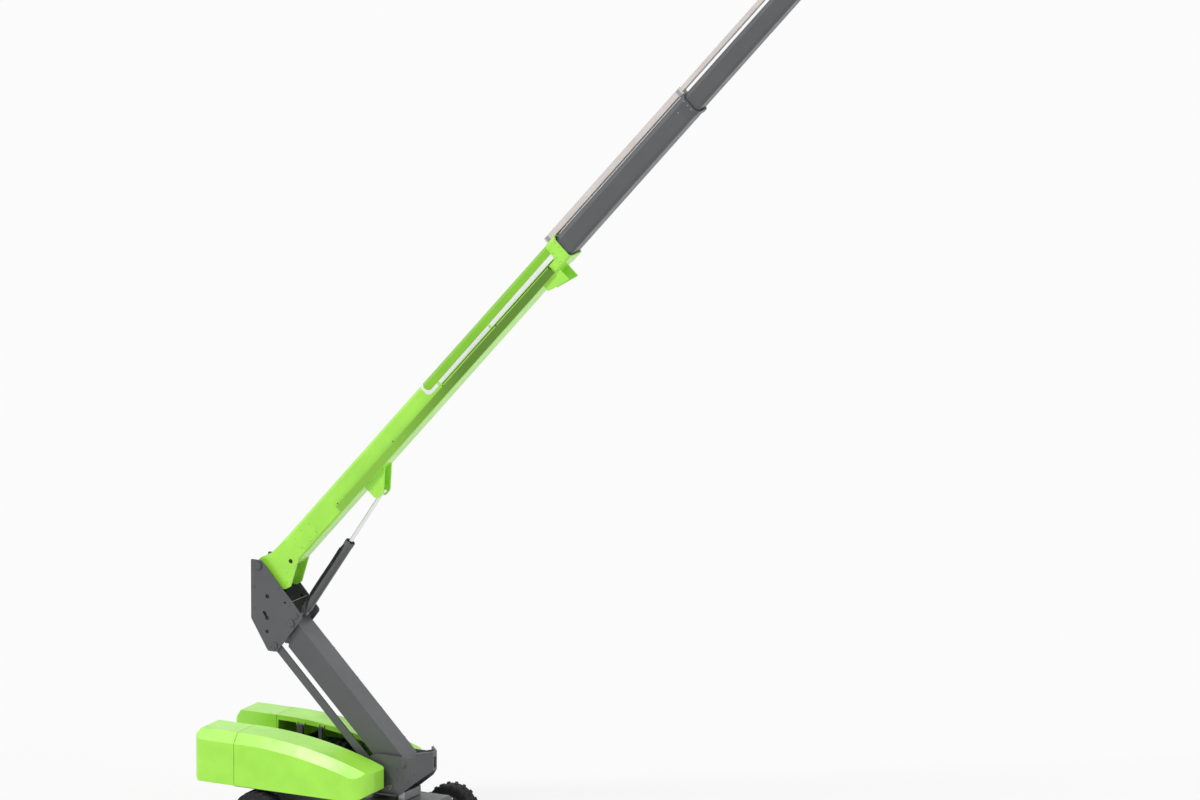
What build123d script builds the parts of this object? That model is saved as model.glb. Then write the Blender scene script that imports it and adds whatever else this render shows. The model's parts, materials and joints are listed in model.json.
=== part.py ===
from build123d import *
from math import atan2, cos, degrees, hypot, pi, radians, sin
import os

# Millimetres, X forward, Y left, Z up. The machine is drawn about its slewing
# centre on the ground, and moved at the end so that the origin is the middle
# of the ground under its outer box.

# Running gear
OVERALL_WIDTH = 2490
TYRE_RADIUS = 507.5
TYRE_WIDTH = 355
TYRE_SIDES = 32
TYRE_LUGS = 16
LUG_DEPTH = 24
LUG_WIDTH = 58
LUG_SLANT = 24
RIM_RADIUS = 312.5
WHEELBASE = 2830
WHEEL_Y = (OVERALL_WIDTH - TYRE_WIDTH) / 2
FRONT_X = WHEELBASE / 2
REAR_X = -WHEELBASE / 2
KING_PIN_Y = WHEEL_Y - 250
DECK_Z = 950
CHASSIS_HALF_WIDTH = 480
TIE_DOWN_X = (1815, -1765)
TIE_DOWN_Y = 300
TIE_DOWN_Z = 740
TIE_DOWN_PLATE = 25
TIE_DOWN_RADIUS = 25
KING_PIN_RADIUS = 32
SPINDLE_RADIUS = 55
STEER_ARM = 160
STEER_ROD_RADIUS = 26
STEER_LINE = (FRONT_X - STEER_ARM, 505)

# Turntable
RING_RADIUS = 600
RING_HEIGHT = 65
RISER_PIN_RADIUS = 45
FOOT_PIN_RADIUS = 35
BOOM_PIN_RADIUS = 50
JIB_PIN_RADIUS = 28
LEVEL_PIN_RADIUS = 16
FLOOR_Z = 1050
FLOOR_THICK = 25
SPINE_OUTER = 330
SPINE_PLATE = 25
TOWER_TOP = 1790
HOOD_BOTTOM = 1060
HOOD_TOP = 2040
HOOD_INNER_Y = 410
HOOD_OUTER_Y = 1190
HOOD_REAR_X = -1900
HOOD_FRONT_X = 860
HOOD_NOSE_X = 610
TAIL_X = -2800
HOOD_WALL = 25
HOOD_TOP_ARC = ((-2000, 2034), (-400, 1914), (960, 1537))
HOOD_LIP = 70
BAND_DROP = 185
BAND_SLOPE = (0, -145, 180)
HOOD_HINGE_Z = 1930
HOOD_HINGE_Y = 392
HOOD_HINGES = ((-1385, 120), (-950, 70))
HINGE_PIN_RADIUS = 12
KNUCKLE_WEB = [(-840, 50), (-840, 900), (-815, 900), (-815, 50)]
KNUCKLE_TIE = [(-20, 385), (-32, 398), (-120, 330), (-108, 317)]
KNUCKLE_HOLES = [
    ((-511, 445), 40), ((-140, 374), 22), ((-576, 133), 34), ((-552, 92), 28), ((-519, 38), 40), ((-519, -220), 34),
]

# Riser and its parallel link, seen from the side as X, Z
RISER_BASE = (1177, 1653)
RISER_LENGTH = 3334
RISER_ANGLE = 134.5
RISER_HALF_WIDTH = 250
RISER_FRONT_FACE = -46
RISER_REAR_FACE = 415
RISER_WALL = 12
LINK_OFFSET = (-351, -460)
LINK_DEPTH = 150
LINK_THICK = 35
LINK_INNER_Y = 262

# Main boom, measured along it from its pivot and up from its top face
BOOM_PIVOT_FROM_RISER = (-701, 1005)
BOOM_ANGLE = 48.4
BOOM_DEPTH = 475
BOOM_HALF_WIDTH = 220
BOOM_WALL = 10
BOOM_HEAD = 9200
SECTION_GAP = 12
MID_HEAD = 13150
MID_LENGTH = 8500
FLY_HEAD = 17100
FLY_LENGTH = 8300
TUBE_HEIGHT = 110
TUBE_HALF_WIDTH = 75

# Lift cylinders
RISER_CYLINDER_FOOT = (900, 1200)
RISER_EYE_ON_RISER = (2000, 360)
LIFT_CYLINDER_FOOT_FROM_RISER = (84, 148)
LIFT_PIN_ON_BOOM = (2850, -655)
LIFT_EYE_DROP = 90

# Jib and platform
JIB_ANGLE = 35
JIB_LENGTH = 1900
JIB_HALF_DEPTH = 75
JIB_LINK_OFFSET = (40, -230)
JIB_CYLINDER_FOOT = (50, -280)
JIB_EYE_ON_JIB = (1000, -160)
LEVEL_FOOT_FROM_PIVOT = (-870, 60)
LEVEL_LEVER = 150
LEVEL_LEVER_ANGLE = 127.5
PLATFORM_LENGTH = 2440
PLATFORM_DEPTH = 915
RAIL_HEIGHT = 1100
RAIL_RADIUS = 19
ROTATOR_REACH = 400
FLOOR_REAR = 160
GATE_POST = 90
GATE_GAP = 45


def along(start, length, angle):
    """Point at a distance from start, at an angle up from +X, in the side view."""
    return (start[0] + length * cos(radians(angle)), start[1] + length * sin(radians(angle)))


def offset(start, step):
    return (start[0] + step[0], start[1] + step[1])


RISER_TOP = along(RISER_BASE, RISER_LENGTH, RISER_ANGLE)
LINK_BASE = offset(RISER_BASE, LINK_OFFSET)
LINK_TOP = offset(RISER_TOP, LINK_OFFSET)
BOOM_PIVOT = offset(RISER_TOP, BOOM_PIVOT_FROM_RISER)
LIFT_FOOT = offset(RISER_TOP, LIFT_CYLINDER_FOOT_FROM_RISER)


def on_boom(s, up):
    """Side-view point at s along the main boom and up from its top face."""
    x, z = along(BOOM_PIVOT, s, BOOM_ANGLE)
    return (x - up * sin(radians(BOOM_ANGLE)), z + up * cos(radians(BOOM_ANGLE)))


def on_riser(s, rear):
    """Side-view point at s along the riser and so far behind and below its pin line."""
    x, z = along(RISER_BASE, s, RISER_ANGLE)
    return (x - rear * sin(radians(RISER_ANGLE)), z + rear * cos(radians(RISER_ANGLE)))


def on_jib(s, up):
    """Side-view point at s along the jib and up from its pin line."""
    x, z = along(JIB_PIVOT, s, JIB_ANGLE)
    return (x - up * sin(radians(JIB_ANGLE)), z + up * cos(radians(JIB_ANGLE)))


LIFT_PIN = on_boom(*LIFT_PIN_ON_BOOM)
LIFT_EYE = on_boom(LIFT_PIN_ON_BOOM[0], LIFT_PIN_ON_BOOM[1] - LIFT_EYE_DROP)
RISER_EYE = on_riser(*RISER_EYE_ON_RISER)
JIB_PIVOT_ON_BOOM = (FLY_HEAD + 420, -230)
JIB_PIVOT = on_boom(*JIB_PIVOT_ON_BOOM)
JIB_TIP = along(JIB_PIVOT, JIB_LENGTH, JIB_ANGLE)
JIB_EYE = on_jib(*JIB_EYE_ON_JIB)
JIB_FOOT = offset(JIB_PIVOT, JIB_CYLINDER_FOOT)
LEVEL_FOOT = on_boom(JIB_PIVOT_ON_BOOM[0] + LEVEL_FOOT_FROM_PIVOT[0], JIB_PIVOT_ON_BOOM[1] + LEVEL_FOOT_FROM_PIVOT[1])
LEVEL_EYE = along(JIB_PIVOT, LEVEL_LEVER, LEVEL_LEVER_ANGLE)


PLATFORM_X = JIB_TIP[0] + ROTATOR_REACH
PLATFORM_Z = JIB_TIP[1] - 430
RAIL_X0 = PLATFORM_X + FLOOR_REAR + 25
RAIL_X1 = PLATFORM_X + FLOOR_REAR + PLATFORM_DEPTH - 25
RAIL_Y = PLATFORM_LENGTH / 2 - 25


def side_plate(points, y_low, y_high):
    """Outline in the side view, made solid between two widths."""
    face = Plane.XZ * make_face(Polyline(*points, close=True))
    return Pos(0, y_high, 0) * extrude(face, amount=y_high - y_low)


def rounded_plate(points, radii, y_low, y_high):
    """Outline in the side view with rounded corners, made solid between two widths."""
    face = Plane.XZ * make_face(FilletPolyline(*points, radius=radii, close=True))
    return Pos(0, y_high, 0) * extrude(face, amount=y_high - y_low)


def plan_plate(points, z_low, z_high):
    """Outline seen from above, made solid between two heights."""
    return Pos(0, 0, z_low) * extrude(make_face(Polyline(*points, close=True)), amount=z_high - z_low)


def block(x, y, z):
    """Box between low and high values on each axis."""
    size = (x[1] - x[0], y[1] - y[0], z[1] - z[0])
    middle = ((x[0] + x[1]) / 2, (y[0] + y[1]) / 2, (z[0] + z[1]) / 2)
    return Pos(*middle) * Box(*size)


def cross_pin(point, radius, y_low, y_high):
    """Round bar along Y at a side-view point."""
    bar = Cylinder(radius, y_high - y_low)
    return Pos(point[0], (y_low + y_high) / 2, point[1]) * Rot(90, 0, 0) * bar


def standing(radius, height):
    """Cylinder on its base."""
    return Cylinder(radius, height, align=(Align.CENTER, Align.CENTER, Align.MIN))


def lying(radius, start, end):
    """Cylinder along +X between two distances."""
    return Pos(start, 0, 0) * Rot(0, 90, 0) * standing(radius, end - start)


def both_sides(shape):
    return shape + mirror(shape, about=Plane.XZ)


def lean(shape, point, angle):
    """Turn a piece drawn along +X from the origin to its angle, and carry it to its place."""
    return Pos(point[0], 0, point[1]) * Rot(0, -angle, 0) * shape


def tube_between(a, b, radius):
    """Round bar between two points in space."""
    start, end = Vector(*a), Vector(*b)
    plane = Plane(origin=start, z_dir=(end - start).normalized())
    return plane * Cylinder(radius, (end - start).length, align=(Align.CENTER, Align.CENTER, Align.MIN))


def direction(a, b):
    return degrees(atan2(b[1] - a[1], b[0] - a[0]))


def distance(a, b):
    return hypot(b[0] - a[0], b[1] - a[1])


# Chassis

def chassis_frame():
    """Welded box, open underneath between the axles, on the two axle beams."""
    outline = [
        (-1700, 660), (-1700, 890), (-1640, DECK_Z), (1690, DECK_Z), (1750, 890), (1750, 720),
        (1690, 640), (1080, 640), (960, 450), (-960, 450), (-1080, 640), (-1660, 640),
    ]
    inside = [
        (-1680, 670), (-1680, 880), (-1630, DECK_Z - 20), (1680, DECK_Z - 20), (1730, 880), (1730, 725),
        (1680, 660), (1060, 660), (940, 400), (-940, 400), (-1060, 660), (-1650, 660),
    ]
    frame = side_plate(outline, -CHASSIS_HALF_WIDTH, CHASSIS_HALF_WIDTH)
    frame -= side_plate(inside, -CHASSIS_HALF_WIDTH + 20, CHASSIS_HALF_WIDTH - 20)
    for x in (-600, 0, 600):
        frame += block((x - 15, x + 15), (-CHASSIS_HALF_WIDTH, CHASSIS_HALF_WIDTH), (480, DECK_Z))
    for x in (FRONT_X, REAR_X):
        frame += block((x - 130, x + 130), (-300, 300), (600, 680))
    front, rear = TIE_DOWN_X
    eye = tie_down_eye()
    return frame + both_sides(Pos(front, 0, 0) * eye + Pos(rear, 0, 0) * mirror(eye, about=Plane.YZ))


def tie_down_eye():
    """Level plate with rounded front corners and an upright hole for a shackle's pin."""
    near, far, half = -75, 50, 70
    corners = [
        (near, TIE_DOWN_Y - half), (far, TIE_DOWN_Y - half), (far, TIE_DOWN_Y + half), (near, TIE_DOWN_Y + half),
    ]
    plate = extrude(make_face(FilletPolyline(*corners, radius=(0, 50, 50, 0), close=True)), amount=TIE_DOWN_PLATE)
    hole = Pos(0, TIE_DOWN_Y, -5) * standing(TIE_DOWN_RADIUS, TIE_DOWN_PLATE + 10)
    return Pos(0, 0, TIE_DOWN_Z) * (plate - hole)


def slew_bearing():
    ring = standing(RING_RADIUS, RING_HEIGHT)
    return Pos(0, 0, DECK_Z) * (ring - standing(RING_RADIUS - 130, RING_HEIGHT))


def front_axle():
    """Beam with a fork and king pin at each end, and the steering cylinder's brackets."""
    beam = block((FRONT_X - 95, FRONT_X + 95), (-KING_PIN_Y + 112, KING_PIN_Y - 112), (410, 600))
    fork = block((FRONT_X - 66, FRONT_X + 66), (KING_PIN_Y - 125, KING_PIN_Y), (385, 630))
    fork += Pos(FRONT_X, KING_PIN_Y, 385) * standing(66, 245)
    fork -= block((FRONT_X - 80, FRONT_X + 80), (KING_PIN_Y - 90, KING_PIN_Y + 80), (425, 590))
    pin = Pos(FRONT_X, KING_PIN_Y, 385) * standing(KING_PIN_RADIUS, 245)
    brackets = block((FRONT_X - STEER_ARM, FRONT_X - 95), (100, 130), (450, 560))
    return beam + both_sides(fork + pin) + both_sides(brackets) - cross_pin(STEER_LINE, 55, -210, 210)


def steering_cylinder():
    body = cross_pin(STEER_LINE, 55, -210, 210)
    return body - cross_pin(STEER_LINE, STEER_ROD_RADIUS + 0.05, -220, 220)


def rear_axle():
    """Beam with a drive hub and a spindle at each end."""
    beam = block((REAR_X - 95, REAR_X + 95), (-WHEEL_Y + 155, WHEEL_Y - 155), (410, 600))
    return beam + both_sides(drive_hub(REAR_X))


def drive_hub(x):
    """Drive hub inside the rim, with the spindle that the wheel turns on."""
    centre = (x, TYRE_RADIUS)
    return (
        cross_pin(centre, 150, WHEEL_Y - 155, WHEEL_Y - 20)
        + cross_pin(centre, SPINDLE_RADIUS, WHEEL_Y - 20, WHEEL_Y + 12)
    )


def knuckle_front_left():
    """Knuckle turning on its king pin: barrel, neck, drive hub and steering arm."""
    barrel = Pos(FRONT_X, KING_PIN_Y, 432) * standing(62, 150)
    neck = block((FRONT_X - 45, FRONT_X + 45), (KING_PIN_Y, WHEEL_Y - 150), (450, 565))
    arm = block((FRONT_X - STEER_ARM - 30, FRONT_X), (KING_PIN_Y - 25, KING_PIN_Y + 25), (435, 470))
    bore = Pos(FRONT_X, KING_PIN_Y, 400) * standing(KING_PIN_RADIUS + 0.05, 220)
    return barrel + neck + arm + drive_hub(FRONT_X) - bore


def steering_rod():
    """Rod through the steering cylinder, with an end over each steering arm."""
    rod = cross_pin(STEER_LINE, STEER_ROD_RADIUS, -KING_PIN_Y + 8, KING_PIN_Y - 8)
    end = Pos(STEER_LINE[0], KING_PIN_Y, STEER_LINE[1] - 30) * standing(34, 60)
    return rod + both_sides(end)


def outboard(shape, x, side):
    """Carry a wheel piece, drawn about +Z with its outer side up, to its axle end."""
    return Pos(x, side * WHEEL_Y, TYRE_RADIUS) * Rot(-90 * side, 0, 0) * shape


def rim(x, side):
    """Rim turned in one piece with its dished disc, and hand holes round a hub cover."""
    half = TYRE_WIDTH / 2 - 6
    profile = Polyline(
        (RIM_RADIUS + 9, half), (RIM_RADIUS + 9, half - 6), (RIM_RADIUS, half - 6), (RIM_RADIUS, -half + 6),
        (RIM_RADIUS + 9, -half + 6), (RIM_RADIUS + 9, -half), (RIM_RADIUS - 18, -half), (RIM_RADIUS - 26, -20),
        (240, -15), (160, 5), (SPINDLE_RADIUS + 0.3, 5), (SPINDLE_RADIUS + 0.3, 16), (0, 16), (0, 75),
        (95, 75), (125, 62), (125, 20), (165, 20), (245, 0), (RIM_RADIUS - 26, 20), (RIM_RADIUS - 18, half),
        close=True,
    )
    wheel = revolve(Plane.XZ * make_face(profile), Axis.Z)
    for turn in range(0, 360, 45):
        wheel -= Rot(0, 0, turn) * Pos(205, 0, -40) * standing(21, 80)
    return outboard(wheel, x, side)


def polygon(radius, height):
    """Flat-sided section of a tyre, with a side, not a corner, at the bottom."""
    turn = 180 / TYRE_SIDES
    return Pos(0, 0, height) * RegularPolygon(radius, TYRE_SIDES, major_radius=False, rotation=turn)


def tyre(x, side):
    """Tyre of flat facets with a row of slanted lugs on each half, out to the lugs' tips."""
    half = TYRE_WIDTH / 2
    base = TYRE_RADIUS - LUG_DEPTH
    stations = [(RIM_RADIUS + 14, -half + 12), (base - 70, -half), (base, -half + 45)]
    stations += [(radius, -height) for radius, height in reversed(stations)]
    body = loft([polygon(radius, height) for radius, height in stations], ruled=True)
    body -= extrude(polygon(RIM_RADIUS, -half), amount=TYRE_WIDTH)
    lug = Pos(base - 40, -LUG_WIDTH / 2, 4) * Box(90, LUG_WIDTH, half - 20, align=Align.MIN)
    lug = Pos(base, 0, half / 2) * Rot(LUG_SLANT, 0, 0) * Pos(-base, 0, -half / 2) * lug
    pitch = 360 / TYRE_LUGS
    lugs = []
    for count in range(TYRE_LUGS):
        lugs.append(Rot(0, 0, count * pitch) * lug)
        lugs.append(Rot(0, 0, (count + 0.5) * pitch) * mirror(lug, about=Plane.XY))
    tread = lugs[0].fuse(*lugs[1:]) & extrude(polygon(TYRE_RADIUS, -half + 4), amount=TYRE_WIDTH - 8)
    return outboard(body + tread, x, side)


# Turntable

def turntable_frame():
    """Floor and hub on the ring, trays under the hoods, and the riser's tower."""
    floor = block((-1880, 1060), (-400, 400), (FLOOR_Z, FLOOR_Z + FLOOR_THICK))
    hub_height = FLOOR_Z - DECK_Z - RING_HEIGHT - 0.5
    hub = Pos(0, 0, DECK_Z + RING_HEIGHT + 0.5) * standing(RING_RADIUS - 20, hub_height)
    tray = plan_plate(
        [(-1865, SPINE_OUTER), (-1865, 1120), (250, 1120), (480, 1040), (590, 880), (590, SPINE_OUTER)],
        FLOOR_Z, FLOOR_Z + 20,
    )
    spine = side_plate(
        [
            (-1880, FLOOR_Z), (-1880, 1290), (300, 1290), (500, 1740), (620, TOWER_TOP), (1300, TOWER_TOP),
            (1440, 1830), (1440, 1345), (1080, FLOOR_Z),
        ],
        SPINE_OUTER - SPINE_PLATE, SPINE_OUTER,
    )
    link_pin = cross_pin(LINK_BASE, 40, LINK_INNER_Y - 6, SPINE_OUTER + 20)
    posts = [hinge_post(x, width) for x, width in HOOD_HINGES]
    riser_pin = cross_pin(RISER_BASE, RISER_PIN_RADIUS, -SPINE_OUTER - 25, SPINE_OUTER + 25)
    x, z = RISER_CYLINDER_FOOT
    foot_plate = side_plate([(x - 120, FLOOR_Z), (x + 120, FLOOR_Z), (x + 60, z + 50), (x - 60, z + 50)], 80, 105)
    foot_pin = cross_pin(RISER_CYLINDER_FOOT, FOOT_PIN_RADIUS, -112, 112)
    frame = floor + hub + both_sides(tray + spine + link_pin + foot_plate + posts[0] + posts[1])
    return frame + tower_nose() + riser_pin + foot_pin


def hinge_post(x, width):
    """Post beside a hood with the hinge's pin through its top."""
    post = block((x - width / 2, x + width / 2), (340, HOOD_HINGE_Y + 12), (FLOOR_Z, HOOD_HINGE_Z))
    return post + Pos(0, HOOD_HINGE_Y, HOOD_HINGE_Z) * lying(HINGE_PIN_RADIUS, x - width / 2 - 26, x + width / 2 + 26)


def tower_nose():
    """Tapered nose of the tower, open at its front by an upright slot."""
    outline = [(1440, -SPINE_OUTER), (1440, SPINE_OUTER), (1655, 75), (1655, -75)]
    inner = [(1400, -SPINE_OUTER + 30), (1400, SPINE_OUTER - 30), (1632, 55), (1632, -55)]
    nose = plan_plate(outline, 1300, 1895) - plan_plate(inner, 1250, 1900)
    slope = side_plate([(1400, 1250), (1400, 1310), (1660, 1540), (1700, 1540), (1700, 1250)], -400, 400)
    return nose - slope - block((1600, 1700), (-40, 40), (1580, 1790))


def slew_drive():
    return block((1060, 1190), (-300, 300), (DECK_Z + 15, 1120))


def under_top(rear_x, drop, ends):
    """Face under the arched top of the hoods, lowered by so much, and down to the outline's other ends."""
    rear, middle, front = [(x, z - drop) for x, z in HOOD_TOP_ARC]
    outline = [front, *ends, (rear_x, rear[1]), rear]
    return Plane.XZ * make_face(ThreePointArc(rear, middle, front) + Polyline(*outline))


def hood_body(step, plan):
    """Hood's outer form, or its inside when stepped in by a wall: plan, side view and sloping band together."""
    bottom = HOOD_BOTTOM + 1.2 * step
    front, rear = HOOD_TOP_ARC[2][0], TAIL_X - 100
    nose = [(front, bottom + 0.6 * (front - HOOD_NOSE_X)), (HOOD_NOSE_X, bottom), (rear, bottom)]
    side = Pos(0, 1500, 0) * extrude(under_top(rear, step, nose), amount=1500)
    band = Pos(0, HOOD_OUTER_Y - step, 0) * under_top(rear, BAND_DROP + step, [(front, -1000), (rear, -1000)])
    return plan & side & extrude(band, dir=BAND_SLOPE, amount=1500)


def counterweight():
    """Cast block across the tail: two lobes behind the hoods and a low middle."""
    front = HOOD_REAR_X - 8
    outline = FilletPolyline(
        (front, HOOD_INNER_Y), (front, HOOD_OUTER_Y), (TAIL_X + 20, HOOD_OUTER_Y), (TAIL_X + 20, HOOD_INNER_Y),
        radius=(0, 0, 200, 60), close=True,
    )
    lobe = hood_body(0, extrude(make_face(outline), amount=HOOD_TOP + 50))
    lobe &= side_plate(
        [
            (front, HOOD_BOTTOM), (front, HOOD_TOP + 50), (-2660, HOOD_TOP + 50), (-2660, 2035), (TAIL_X + 20, 1850),
            (TAIL_X + 20, 1165), (-2680, HOOD_BOTTOM),
        ],
        0, 1400,
    )
    middle = plan_plate(
        [
            (HOOD_REAR_X + 20, -HOOD_INNER_Y), (HOOD_REAR_X + 20, HOOD_INNER_Y), (TAIL_X + 60, HOOD_INNER_Y),
            (TAIL_X, 0), (TAIL_X + 60, -HOOD_INNER_Y),
        ],
        HOOD_BOTTOM, 1300,
    )
    return both_sides(lobe) + middle


def engine():
    """Engine with its head, sump, flywheel housing, pump and silencer."""
    motor = block((-1200, -560), (580, 900), (1150, 1420)) + block((-1170, -590), (620, 860), (1420, 1560))
    motor += block((-1120, -640), (620, 860), (FLOOR_Z + 20, 1150))
    motor += Pos(0, 740, 1290) * lying(210, -560, -440) + Pos(0, 740, 1290) * lying(95, -440, -230)
    motor += Pos(0, 740, 1330) * lying(60, -1250, -1200) + block((-1150, -1090), (860, 960), (1440, 1500))
    motor += block((-720, -660), (860, 960), (1440, 1500))
    return motor + Pos(0, 1000, 1490) * lying(85, -1180, -620)


def radiator():
    """Cooler in its frame behind the fan, with an open shroud round the fan's place."""
    frame = block((-1400, -1330), (470, 1060), (FLOOR_Z + 20, 1660)) - block((-1410, -1375), (520, 1010), (1120, 1610))
    ring = Pos(0, 740, 1330) * (lying(235, -1330, -1270) - lying(225, -1335, -1260))
    return frame + ring


def hydraulic_tank():
    tank = block((-1380, -500), (-1060, -560), (FLOOR_Z + 20, 1650))
    return tank + Pos(-1250, -700, 1650) * standing(60, 45) + Pos(-640, -760, 1650) * standing(75, 70)


def fuel_tank():
    tank = block((-420, 330), (-1060, -600), (FLOOR_Z + 20, 1480))
    return tank + Pos(200, -850, 1480) * standing(55, 50)


def hood_left():
    """Hollow hood with an arched top, a sloping band along its outer side and a rounded front."""

    def plan(step, inner_y):
        rear, front, outer = HOOD_REAR_X + step, HOOD_FRONT_X - step, HOOD_OUTER_Y - step
        corners = ((rear, inner_y), (rear, outer), (front, outer), (front, inner_y))
        outline = FilletPolyline(*corners, radius=(0, 0, 380 - step, 110 - step), close=True)
        return extrude(make_face(outline), amount=HOOD_TOP + 50)

    shell = hood_body(0, plan(0, HOOD_INNER_Y))
    inside = hood_body(HOOD_WALL, plan(HOOD_WALL, HOOD_INNER_Y + HOOD_WALL))
    under = plan(HOOD_WALL, HOOD_INNER_Y - 10) & block(
        (HOOD_REAR_X + HOOD_WALL - 5, HOOD_NOSE_X - 5), (0, HOOD_OUTER_Y), (HOOD_BOTTOM - 10, HOOD_BOTTOM + 50)
    )
    ends = [(HOOD_TOP_ARC[2][0], 0), (TAIL_X, 0)]
    gap = Pos(0, HOOD_INNER_Y + 30, 0) * extrude(under_top(TAIL_X, HOOD_LIP + HOOD_WALL, ends), amount=60)
    gap &= block((HOOD_REAR_X + HOOD_WALL + 5, HOOD_NOSE_X + 80), (0, 600), (0, 3000))
    hood = shell - inside - under - gap
    for x, width in HOOD_HINGES:
        for start in (x - width / 2 - 23, x + width / 2 + 8):
            lug = block((start, start + 15), (HOOD_HINGE_Y - 20, HOOD_INNER_Y + 12), (HOOD_HINGE_Z - 20, HOOD_HINGE_Z + 38))
            hood += lug
        hood -= Pos(0, HOOD_HINGE_Y, HOOD_HINGE_Z) * lying(HINGE_PIN_RADIUS + 0.3, x - width, x + width)
    return hood


# Riser, drawn along +X from its base pin, with +Z towards its rear underside

def riser_boom():
    """Box on two pins, with a slot in its underside for the cylinder and stub pins for its eye."""
    outline = [
        (-75, RISER_FRONT_FACE), (-75, 60), (150, RISER_REAR_FACE), (RISER_LENGTH - 260, RISER_REAR_FACE),
        (RISER_LENGTH + 40, 80), (RISER_LENGTH + 60, 20), (RISER_LENGTH + 40, RISER_FRONT_FACE),
    ]
    inner = RISER_HALF_WIDTH - RISER_WALL
    box = side_plate(outline, -RISER_HALF_WIDTH, RISER_HALF_WIDTH)
    hollow = block(
        (150, RISER_LENGTH - 300), (-inner, inner), (RISER_FRONT_FACE + RISER_WALL, RISER_REAR_FACE - RISER_WALL)
    )
    slot = block((-100, 2350), (-130, 130), (RISER_REAR_FACE - 150, RISER_REAR_FACE + 20))
    stub = cross_pin(RISER_EYE_ON_RISER, 42, 52, inner)
    bores = cross_pin((0, 0), RISER_PIN_RADIUS + 0.3, -400, 400)
    bores += cross_pin((RISER_LENGTH, 0), RISER_PIN_RADIUS + 0.3, -400, 400)
    return lean(box - hollow - slot + both_sides(stub) - bores, RISER_BASE, RISER_ANGLE)


def riser_link():
    """Two flat bars beside the riser, pinned to the tower and to the knuckle."""
    half = LINK_DEPTH / 2
    bar = side_plate(
        [
            (-60, -half / 2), (0, -half), (RISER_LENGTH, -half), (RISER_LENGTH + 60, -half / 2),
            (RISER_LENGTH + 60, half / 2), (RISER_LENGTH, half), (0, half), (-60, half / 2),
        ],
        LINK_INNER_Y, LINK_INNER_Y + LINK_THICK,
    )
    for s in (0, RISER_LENGTH):
        bar -= cross_pin((s, 0), 40.3, 200, 400)
    return lean(both_sides(bar), LINK_BASE, RISER_ANGLE)


def riser_knuckle():
    """Upright of two side plates, held level by the link, with the pins that it carries."""
    outline = [(-856, 1112), (-856, 0), (-504, -581), (-320, -581), (235, 140), (-645, 1112)]
    plate = rounded_plate(
        [offset(RISER_TOP, p) for p in outline], (20, 60, 40, 60, 75, 30), SPINE_OUTER - SPINE_PLATE, SPINE_OUTER
    )
    web = side_plate([offset(RISER_TOP, p) for p in KNUCKLE_WEB], -SPINE_OUTER + 10, SPINE_OUTER - 10)
    link_pin = cross_pin(LINK_TOP, 40, LINK_INNER_Y - 6, SPINE_OUTER + 20)
    for point, radius in KNUCKLE_HOLES:
        plate -= cross_pin(offset(RISER_TOP, point), radius, 0, 400)
    tie = side_plate([offset(RISER_TOP, p) for p in KNUCKLE_TIE], -SPINE_OUTER + 10, SPINE_OUTER - 10)
    upright = both_sides(plate + link_pin) + web + tie
    upright += cross_pin(RISER_TOP, RISER_PIN_RADIUS, -SPINE_OUTER - 25, SPINE_OUTER + 25)
    upright += cross_pin(LIFT_FOOT, FOOT_PIN_RADIUS, -SPINE_OUTER - 10, SPINE_OUTER + 10)
    return upright + cross_pin(BOOM_PIVOT, BOOM_PIN_RADIUS, -SPINE_OUTER - 25, SPINE_OUTER + 25)


# Cylinders, drawn along +X from the foot pin

def cylinder_barrel(foot, eye, radius, length, foot_radius, pin_radius, half_width):
    """Barrel with a foot eye, hollow from its mouth to its base."""
    base = foot_radius + 10
    body = lying(radius, base, length)
    hollow = lying(radius - 14, base + 40, length + 10)
    neck = block((0, base + 5), (-half_width, half_width), (-foot_radius * 0.8, foot_radius * 0.8))
    foot_eye = cross_pin((0, 0), foot_radius, -half_width, half_width)
    bore = cross_pin((0, 0), pin_radius + 0.3, -half_width - 5, half_width + 5)
    return lean(body - hollow + neck + foot_eye - bore, foot, direction(foot, eye))


def cylinder_rod(foot, eye, radius, length, eye_radius, half_width, piston):
    """Rod with a piston inside the barrel and an eye at its far end."""
    reach = distance(foot, eye)
    rod = lying(radius, reach - length, reach)
    head = cross_pin((reach, 0), eye_radius, -half_width, half_width)
    land = lying(piston, reach - length, reach - length + 60)
    return lean(rod + head + land, foot, direction(foot, eye))


# Main boom, drawn along +X from its pivot, with its top face at Z = 0

def box_section(start, end, half_width, top, bottom, wall, upper, lower):
    """Boom section of folded plate: wide upper bends, small lower ones, open from end to end."""

    def prism(shrink):
        w, t, b = half_width - shrink, top - shrink, bottom + shrink
        ring = [
            (-w, t - upper), (-w + upper, t), (w - upper, t), (w, t - upper),
            (w, b + lower), (w - lower, b), (-w + lower, b), (-w, b + lower),
        ]
        return Pos(start, 0, 0) * extrude(Plane.YZ * make_face(Polyline(*ring, close=True)), amount=end - start)

    return prism(0) - prism(wall)


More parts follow.
